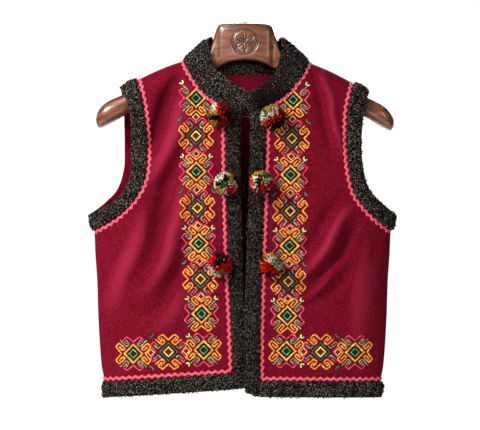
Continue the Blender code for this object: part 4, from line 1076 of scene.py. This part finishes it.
class Stitching:
    """The stitches of one front: flat points of x, z and height, faces, and what each point's thread is."""

    def __init__(self):
        self.points, self.faces, self.tones, self.outs, self.spots = [], [], [], [], []
        self.count = 0

    def add(self, points, faces, colour, spots, out):
        self.points.append(points)
        self.faces += [[self.count + number for number in face] for face in faces]
        self.tones.append(np.broadcast_to([linear(code) for code in FLOSS[colour]], (len(points), 3, 4)))
        self.outs.append(np.broadcast_to(out, len(points)))
        self.spots.append(spots)
        self.count += len(points)

    def satin_line(self, line, width, colour, height, closed=False):
        """A padded ribbon of satin stitch along a line of x and z."""
        before, after = np.roll(line, 1, axis=0), np.roll(line, -1, axis=0)
        if not closed:
            before[0], after[-1] = 2 * line[0] - line[1], 2 * line[-1] - line[-2]
        first, second = unit(line - before), unit(after - line)
        normal = unit(np.stack((-(first + second)[:, 1], (first + second)[:, 0]), axis=1))
        mitre = 1 / np.maximum(np.abs(-first[:, 1] * normal[:, 0] + first[:, 0] * normal[:, 1]), 0.7)
        across = SATIN_SECTION[:, 0] * width * mitre[:, None]
        flat = line[:, None, :] + normal[:, None, :] * across[..., None]
        heights = np.broadcast_to(SATIN_SECTION[:, 1] * height * STITCH_HEIGHT, across.shape)
        points = np.concatenate((flat, heights[..., None]), axis=-1).reshape(-1, 3)
        run = distances_along(line) + (np.arange(len(line)) if closed else 0)
        spots = np.stack(np.broadcast_arrays(run[:, None], across), axis=-1).reshape(-1, 2)
        rings, around = across.shape
        faces = ring_faces(rings, around, closed).tolist()
        if not closed:
            for end in (list(range(around)), list(range((rings - 1) * around, rings * around))[::-1]):
                faces += [[end[0], *pair] for pair in zip(end[1:], end[2:])]
        self.add(points, faces, colour, spots, np.tile(SATIN_SECTION[:, 2], rings))

    def filled_diamond(self, centre, half, colour, height):
        """A padded diamond filled with satin stitch, in small cells that follow the cloth."""
        step = np.linspace(-0.5, 0.5, max(int(half / 1.8), 2) + 1)
        u, v = (part.reshape(-1) for part in np.meshgrid(step, step, indexing="ij"))
        flat = centre + np.stack((u - v, u + v), axis=1) * half
        count = len(flat)
        top = np.where(np.maximum(np.abs(u), np.abs(v)) > 0.499, 0.1, 1) * height * STITCH_HEIGHT
        points = np.vstack((np.column_stack((flat, top)), np.column_stack((flat, np.full(count, -0.1)))))
        grid = faces_of_grid(np.ones((len(step), len(step)), bool))
        a, b = border_of(grid, count)
        faces = np.vstack((grid[:, ::-1], grid + count, np.stack((a, a + count, b + count, b), axis=1)))
        self.add(points, faces.tolist(), colour, np.tile(np.stack((u, v), axis=1) * half, (2, 1)), 0)

    def diamonds(self, centre, shapes):
        """Some diamonds round one middle: filled, or where one has a width, its outline alone."""
        for colour, width, half, height in shapes:
            if width:
                corners = np.array(((0, half), (half, 0), (0, -half), (-half, 0), (0, half)))
                thirds = (np.arange(3) / 3)[:, None]
                line = np.vstack([between(a, b, thirds) for a, b in zip(corners, corners[1:])])
                self.satin_line(centre + line, width, colour, height, closed=True)
            else:
                self.filled_diamond(centre, half, colour, height)

    def motif(self, motif, centre, quarter, buds, crown=True):
        """One motif, turned a quarter above the hem. Without its crown it lacks the hooks on top."""
        turn = np.array(((0, 1), (-1, 0))) if quarter else np.eye(2)
        shapes, lines = motif
        self.diamonds(centre, shapes)
        both = ((1, 1), (-1, 1), (1, -1), (-1, -1))
        flips = {"high": both[:2] if crown else (), "low": both[:2], "both": both, "buds": buds}
        for colour, width, mirrored, height, *line in lines:
            line = cornered(np.reshape(line, (-1, 2)))
            for flip in flips[mirrored]:
                mirror = line * flip
                self.satin_line(centre + mirror[:: flip[0] * flip[1]] @ turn, width, colour, height)


def cornered(line):
    """A line whose corners are cut just before they turn, as stitches turn a corner."""
    parts = [line[:1]]
    for before, corner, after in zip(line, line[1:], line[2:]):
        for end in (before, after):
            reach = np.linalg.norm(end - corner)
            parts.append((corner + (end - corner) * min(CORNER / reach, 0.45))[None])
    return np.vstack((*parts, line[-1:]))


def add_embroidery(side):
    """All the stitching of one front, laid on its wool and ending under the neck's braid."""
    sewn = Stitching()
    column, row = np.array(COLUMN[side]), np.array(HEM_ROW[side])
    motifs = (STAR, ROSETTE)
    for i, centre in enumerate(column):
        buds = ((1, 1), (-1, 1)) if i else ((SIGN[side], 1),)
        sewn.motif(motifs[i % 2], centre, False, buds, crown=i > 0)
    for i, centre in enumerate(row):
        buds = ((1, -SIGN[side]), (-1, -SIGN[side])) if i < 2 else ()
        sewn.motif(motifs[i % 2], centre, True, buds)
    sewn.satin_line(smooth_line(MARKING[side]), 0.8, "navy", 0.35)
    for line in (column, row):
        for middle in (line[1:] + line[:-1]) / 2:
            sewn.diamonds(middle, LINK_DIAMOND)
    points = np.vstack(sewn.points)
    neck_x, neck_z = outline(side, NECKLINE[side]).T
    neck_x = np.abs(neck_x)
    out = np.abs(points[:, 0])
    limit, slope = np.interp(out, neck_x, neck_z), np.interp(out, neck_x, np.gradient(neck_z, neck_x))
    covered = points[:, 1] > limit - HALF_BRAID * np.sqrt(1 + slope**2)
    faces = [face[::-1] for face in sewn.faces if not covered[face].all()]
    used = np.unique(np.concatenate(faces))
    numbers = np.zeros(len(points), int)
    numbers[used] = np.arange(len(used))
    x, z, height = points[used].T
    shape, _ = on_cloth("front", side, x, z, height[:, None] + 0.12)
    faces = [numbers[face].tolist() for face in faces]
    piece = new_piece(f"{side}_front_embroidery", shape, faces, floss_thread, 60)
    tones = np.concatenate(sewn.tones)[used]
    for k, name in enumerate(FLOSS_TONES):
        mark(piece, name, tones[:, k])
    mark(piece, "out_of_middle", np.concatenate(sewn.outs)[used])
    map_threads(piece, np.vstack(sewn.spots)[used])
    return piece


for side in SIGN:
    braids[side].append(add_embroidery(side))

# ----------------------------------------------------------
# Cut of the wool: the flat width, length and area of each panel's cut, a sheet of cloth with braid and
# embroidery on it; nothing here uses them.

for name, (face, side, _, width, length, area) in PANELS.items():
    cut = {"flat": (width * MM, length * MM), "area": area * MM * MM}

# ----------------------------------------------------------
# Pompoms: wool yarn wound in patches of colour, tied in the middle, cut and fluffed, and sewn to the
# fronts in three pairs. Behind, the yarn is pressed short against the cloth.

YARN = {
    "red": "#D0120C", "deep": "#7A0C1A", "white": "#DDD3BC", "gold": "#B08430", "green": "#3C6A30",
    "black": "#0A090B",
}
POMPOM_CORE = 12.5
POMPOM_STRANDS = 900
YARN_RADIUS = 0.82
YARN_RINGS = 4
# name: x, height, radius, and its patches: colour, x and height from the middle, in hundredths of the
# radius
POMPOMS = {
    "pompom_right_top": (-36.5, -139, 20, """
        white -56 53  red -18 60  red 3 10  red 29 -32  deep 30 -83  deep 30 85  deep 62 62  deep 90 19
        black 50 20  black 62 -20  gold -82 23  gold -43 8  black -70 -20  black -20 -42  gold -50 -75
        deep -10 -90
    """),
    "pompom_left_top": (41.5, -143, 19.5, """
        gold -50 72  gold -5 95  green -15 62  green -66 36  white -90 0  white -36 23  white 20 50
        red -64 -55  red -30 -20  red 20 0  red 50 20  deep 80 30  black 5 -75  black 60 -45
        black -30 -90
    """),
    "pompom_right_middle": (-28.5, -242, 18.5, """
        white -64 60  white -98 -10  white -10 90  gold 35 82  black 20 42  black -60 -7  green 0 20
        green -28 -22  gold 60 25  white 40 -12  white 85 0  red 30 -46  red 70 -35  gold -60 -60
        white -20 -70  deep 20 -88  black 90 50
    """),
    "pompom_left_middle": (24.5, -240, 18.5, """
        red -90 10  red -85 -40  white -58 40  white -56 -42  gold -40 85  black -30 20  black -28 -25
        black 0 45  white 10 12  green 60 60  white 62 30  red 45 -10  red 85 -20  red 0 -50
        deep -30 -80  black 50 -72
    """),
    "pompom_right_lower": (-37, -362, 18.5, """
        black -10 85  black 14 40  black -30 5  black 40 75  red -70 50  red 80 40  red 52 -10
        red -50 -32  red 5 -35  red 60 -50  white -90 -30  white -33 -80  green 24 -75  red -95 10
    """),
    "pompom_left_lower": (38.5, -362, 18.5, """
        gold -42 90  gold 15 88  white -10 65  white 28 33  white 75 -15  green 62 30  gold 60 70
        black -84 50  red -47 20  red -9 -19  red 35 -35  deep 55 -68  red -90 -10  red -50 -50
        black -30 -88
    """),
}

# Loosely spun wool yarn with fluffy cut ends: very matt, with a little sheen from the loose fibres.
yarn_wool, add, place, _ = new_material("fluffy_pompom_wool")
yarn = add("Attribute", attribute_name="yarn")["Color"]
fibres = add("TexNoise", Vector=place, Scale=1100, Detail=3, Roughness=0.7)["Fac"]
darker = add("HueSaturation", Saturation=1.05, Value=0.62, Color=yarn)[0]
share = add("MapRange", Value=fibres, From_Min=0.35, From_Max=0.62)[0]
mixed = add("Mix", Factor_Float=share, A_Color=darker, B_Color=yarn)[2]
fluff = add("Bump", Strength=0.7, Distance=0.0006, Height=fibres)[0]
add("shader", Base_Color=mixed, Normal=fluff, Roughness=0.92, Specular_IOR_Level=0.05, Sheen_Weight=0.02)

# strands of yarn that stand out of a tied core, coloured by the patch they belong to, with painted shade
# towards the core
for name, (x, z, radius, words) in POMPOMS.items():
    patches = np.reshape(words.split(), (-1, 3))
    centre = np.array((x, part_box(name)[1].y / MM - POMPOM_CORE, z))
    number = np.arange(POMPOM_STRANDS) + 0.5
    level = 1 - 2 * number / POMPOM_STRANDS
    turn = math.pi * (3 - math.sqrt(5)) * number
    flat = np.sqrt(1 - level**2)
    ways = np.stack((np.cos(turn) * flat, level, np.sin(turn) * flat), axis=1)
    ways = unit(ways + dice.normal(0, 0.035, ways.shape))
    ways = ways[ways[:, 1] < 0.8]
    count = len(ways)
    pressed = POMPOM_CORE / np.maximum(ways[:, 1], 0.02)
    reach = np.minimum(radius * dice.uniform(0.82, 1.03, count), pressed)[:, None]
    side = unit(np.cross(ways, dice.normal(size=ways.shape)))[:, None]
    part = np.linspace(0, 1, YARN_RINGS)
    middles = centre + ways[:, None] * between(0.3 * radius, reach, part)[..., None]
    middles += side * (dice.normal(0, 0.8, (count, 1)) * part**2)[..., None]
    thick = YARN_RADIUS * np.array((0.6, 0.9, 1.2, 1.05))[:, None]
    finish = yarn_wool, 180, name, "pompom_wool"
    angles = (0, math.tau / 3, 2 * math.tau / 3)
    piece = add_tubes(name + "_yarn", middles, side, np.cross(ways[:, None], side), thick, angles, *finish)
    off_middle = points_of(piece) - middles.repeat(3, axis=1).reshape(-1, 3)
    loose = unit(np.repeat(ways, 3 * YARN_RINGS, axis=0) * 1.1 + off_middle)
    piece.data.normals_split_custom_set_from_vertices(loose.tolist())
    places = np.zeros((len(patches), 3))
    places[:, 0], places[:, 2] = patches[:, 1:].T.astype(float) / 100
    places[:, 1] = -np.sqrt(np.maximum(1 - (places**2).sum(axis=1), 0.04))
    nearest = ((ways + dice.normal(0, 0.1, ways.shape)) @ unit(places).T).argmax(axis=1)
    shades = np.array([linear(YARN[colour]) for colour in (*patches[:, 0], "black")])
    stray = dice.random(count)
    anyhow = dice.integers(0, len(patches), count)
    nearest = np.where(stray < 0.1, len(patches), np.where(stray < 0.2, anyhow, nearest))
    tones = shades[nearest] * dice.uniform(0.5, 1.1, (count, 1))
    # painted shade: each strand is darker towards the core
    depth = np.tile(np.repeat((0.15, 0.35, 0.85, 1), 3), count)[:, None]
    mark(piece, "yarn", np.repeat(tones, 3 * YARN_RINGS, axis=0) * depth)

# ----------------------------------------------------------
# Hanger: a contoured hanger shaped from one beech board, stained brown and lacquered, with a plain rosette
# of six petals in a double ring cut into its neck. The brass bush on top takes the hook.

# distance from the middle, top, bottom, half-depth, squareness of the section
HANGER = (
    (0, -0.4, -55.5, 16, 6), (18, -0.6, -57.5, 16, 6), (30, -1.4, -61.5, 16, 6),
    (36.5, -2.6, -64.5, 15.6, 5.5), (41, -6, -67, 12.8, 4.5), (47, -23, -70, 10.8, 3.6),
    (53, -41, -73, 9.8, 3), (62, -57, -77.5, 10.5, 2.6), (76, -62.5, -84.5, 11.5, 2.5),
    (95, -62.3, -94, 12.5, 2.3), (122, -70.6, -107.5, 15, 2.4), (150, -83.2, -121.5, 17.5, 2.4),
    (168, -97, -131.5, 19.3, 2.5), (182, -107, -139.5, 20, 2.5), (203, -116.5, -151, 20, 2.5),
    (212.5, -123, -155.5, 18.5, 2.4), (218.5, -130, -157, 15, 2.3), (221.8, -137, -152.5, 9.5, 2.1),
    (223, -142, -148.5, 4.5, 2),
)
# the left arm sits lower: distance, drop
LEFT_DROP = ((60, 0), (95, 2), (122, 3.6), (150, 5.2), (168, 4.2), (182, 2.4), (203, 3.2), (223, 4))
# distances that sections stand at: from, to, how many
STATIONS = ((0, 21.7, 32), (22.5, 60, 26), (63, 205, 48), (206.5, 223, 14))
ROSETTE_HEIGHT = -28.5
ROSETTE_RINGS = (19.6, 17.4)
PETAL_RADIUS = 15.4
GROOVE_WIDTH = 0.75
GROOVE_DEPTH = 0.9
NECK_ROUNDING = 2.6  # how far back the sides of the neck's face lie
NECK_REACH = 36  # from the middle to the sides of that face
FACE_POINTS = 110  # points up the front of a section, close enough to hold the carving
BACK_POINTS = 22

# Stained and lacquered beech: long brown grain with short dark pores under a clear glossy coat.
beech, add, place, _ = new_material("stained_lacquered_beech")
carved = add("Attribute", attribute_name="carved")["Fac"]
long_grain = add("Mapping", Vector=place, Scale=(5, 55, 55))[0]
streaks = add("TexNoise", Vector=long_grain, Scale=1.6, Detail=6, Roughness=0.6, Distortion=1.1)["Fac"]
pore_place = add("Mapping", Vector=place, Scale=(60, 900, 900))[0]
pores = add("TexNoise", Vector=pore_place, Scale=1, Detail=2)["Fac"]
browns = ((0.3, "#3A1A0A"), (0.46, "#5E2E14"), (0.58, "#7A401C"), (0.72, "#A0602A"))
grain = add("ValToRGB", browns, Fac=streaks)[0]
share = add("MapRange", Value=pores, From_Min=0.56, From_Max=0.7, To_Max=0.55)[0]
pored = add("Mix", Factor_Float=share, A_Color=grain, B_Color="#2A1106")[2]
cut = add("Mix", Factor_Float=carved, A_Color=pored, B_Color="#1E0C05")[2]
relief = add("Bump", Strength=0.12, Distance=0.0004, Height=pores)[0]
add("shader", Base_Color=cut, Normal=relief, Roughness=0.38, Coat_Weight=0.8, Coat_Roughness=0.2)


def carving(x, z):
    """How deep the rosette is cut at a place on the neck, from 0 to 1: two rings and six petals of arcs."""
    z = z - ROSETTE_HEIGHT
    radius = np.hypot(x, z)
    nearest = np.minimum(*(np.abs(radius - ring) for ring in ROSETTE_RINGS))
    for angle in math.tau * (np.arange(6) + 0.5) / 6:
        arc = np.hypot(x - PETAL_RADIUS * np.cos(angle), z - PETAL_RADIUS * np.sin(angle)) - PETAL_RADIUS
        nearest = np.where(radius < PETAL_RADIUS, np.minimum(nearest, np.abs(arc)), nearest)
    return np.exp(-((nearest / GROOVE_WIDTH) ** 2))


half = np.concatenate([np.linspace(*stretch) for stretch in STATIONS])
stations = np.append(-half[:0:-1], half)
distance = np.abs(stations)
drop = np.where(stations > LEFT_DROP[0][0], read_table(LEFT_DROP, distance), 0)
top, bottom, half_depth, square = (read_table(HANGER, distance, k)[:, None] for k in (1, 2, 3, 4))
top, bottom = top - drop[:, None], bottom - drop[:, None]
up = [np.sin(np.linspace(-math.pi / 2, math.pi / 2, count)) for count in (FACE_POINTS, BACK_POINTS)]
up = np.append(up[0], up[1][-2:0:-1])
in_front = np.arange(len(up)) < FACE_POINTS
y = np.where(in_front, -1, 1) * (1 - np.abs(up) ** square) ** (1 / square) * half_depth
z = (top + bottom) / 2 + up * (top - bottom) / 2
x = np.broadcast_to(stations[:, None], y.shape)
carved = carving(x, z) * in_front * (y < -8)
sides_back = NECK_ROUNDING * (np.minimum(distance, NECK_REACH) / NECK_REACH) ** 2
sides_back *= ease((60 - distance) / 20)
y = y + GROOVE_DEPTH * carved + sides_back[:, None] * in_front
shape, faces = np.stack((x, y, z), axis=-1).reshape(-1, 3), tube_faces(*y.shape, turned=True)
mark(new_piece("beech_hanger", shape, faces, beech, 60, "hanger", "wood"), "carved", carved.reshape(-1))

# Turned brass, dull and tarnished.
brass, add, place, _ = new_material("turned_brass")
turning = add("TexNoise", Vector=place, Scale=1500, Detail=2)["Fac"]
tarnish = add("ValToRGB", ((0.35, "#3E2C12"), (0.65, "#6E5228")), Fac=turning)[0]
add("shader", Base_Color=tarnish, Metallic=1, Roughness=0.32)
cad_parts["hook_socket"].material_slots[0].material = brass

# ----------------------------------------------------------
# Hook and eye at the neck: grey steel wire, a bar across the gap between the bands and the hook's leg,
# which comes down from under the collar's end. Both are sewn on where they lie on the boucle.

WIRE_RADIUS = 0.5
WIRE_CORNERS = 10
GAP_DEPTH = -0.036  # y in metres, behind which a ray has gone through the gap between the bands
# how far in front of the boucle it lies, the node it stands for, and x and height of its points
WIRES = {
    "bar": (1, "neck_hook", ((-11, -139.6), (-6, -140.6), (0, -141.6), (5, -142.4), (10.5, -143))),
    "leg": (1.9, None, (
        (-3, -127.5), (-1, -132), (2, -136), (5.5, -139.4), (7.5, -141.6), (6, -143.6), (3.6, -143.2),
    )),
}

# Drawn steel wire with a dull grey japan finish that is a little rubbed.
steel_wire, add, place, _ = new_material("grey_steel_wire")
rubbed = add("TexNoise", Vector=place, Scale=700, Detail=3)["Fac"]
tone = add("ValToRGB", ((0.4, "#2E2B2A"), (0.65, "#5E5854")), Fac=rubbed)[0]
add("shader", Base_Color=tone, Metallic=0.85, Roughness=0.38)

carriers = []
for piece in (*front_bands, collar):
    corners = [corner.co for corner in piece.data.vertices]
    carriers.append(BVHTree.FromPolygons(corners, [tuple(face.vertices) for face in piece.data.polygons]))
for wire_name, (proud, node, places) in WIRES.items():
    line = smooth_line(places, 6)
    depths = np.full(len(line), np.nan)
    for i, (x, z) in enumerate(line):
        hits = (carrier.ray_cast(Vector((x, -200, z)) * MM, Vector((0, 1, 0)))[0] for carrier in carriers)
        met = [hit.y for hit in hits if hit is not None and hit.y < GAP_DEPTH]
        if met:
            depths[i] = min(met) / MM
    known = np.flatnonzero(~np.isnan(depths))
    depths = np.interp(np.arange(len(line)), known, depths[known])
    middle = np.stack((line[:, 0], depths - proud, line[:, 1]), axis=1)
    ahead = np.gradient(middle, axis=0)
    sideways = unit(np.cross(ahead, (0, 1, 0)))
    outwards = unit(np.cross(sideways, ahead))
    angles = (np.arange(WIRE_CORNERS) * math.tau / WIRE_CORNERS)[:, None]
    rings = sideways[:, None] * np.cos(angles) + outwards[:, None] * np.sin(angles)
    shape = (middle[:, None] + WIRE_RADIUS * rings).reshape(-1, 3)
    faces = tube_faces(len(line), WIRE_CORNERS, turned=True)
    new_piece(f"neck_hook_{wire_name}", shape, faces, steel_wire, 60, node, "wire")
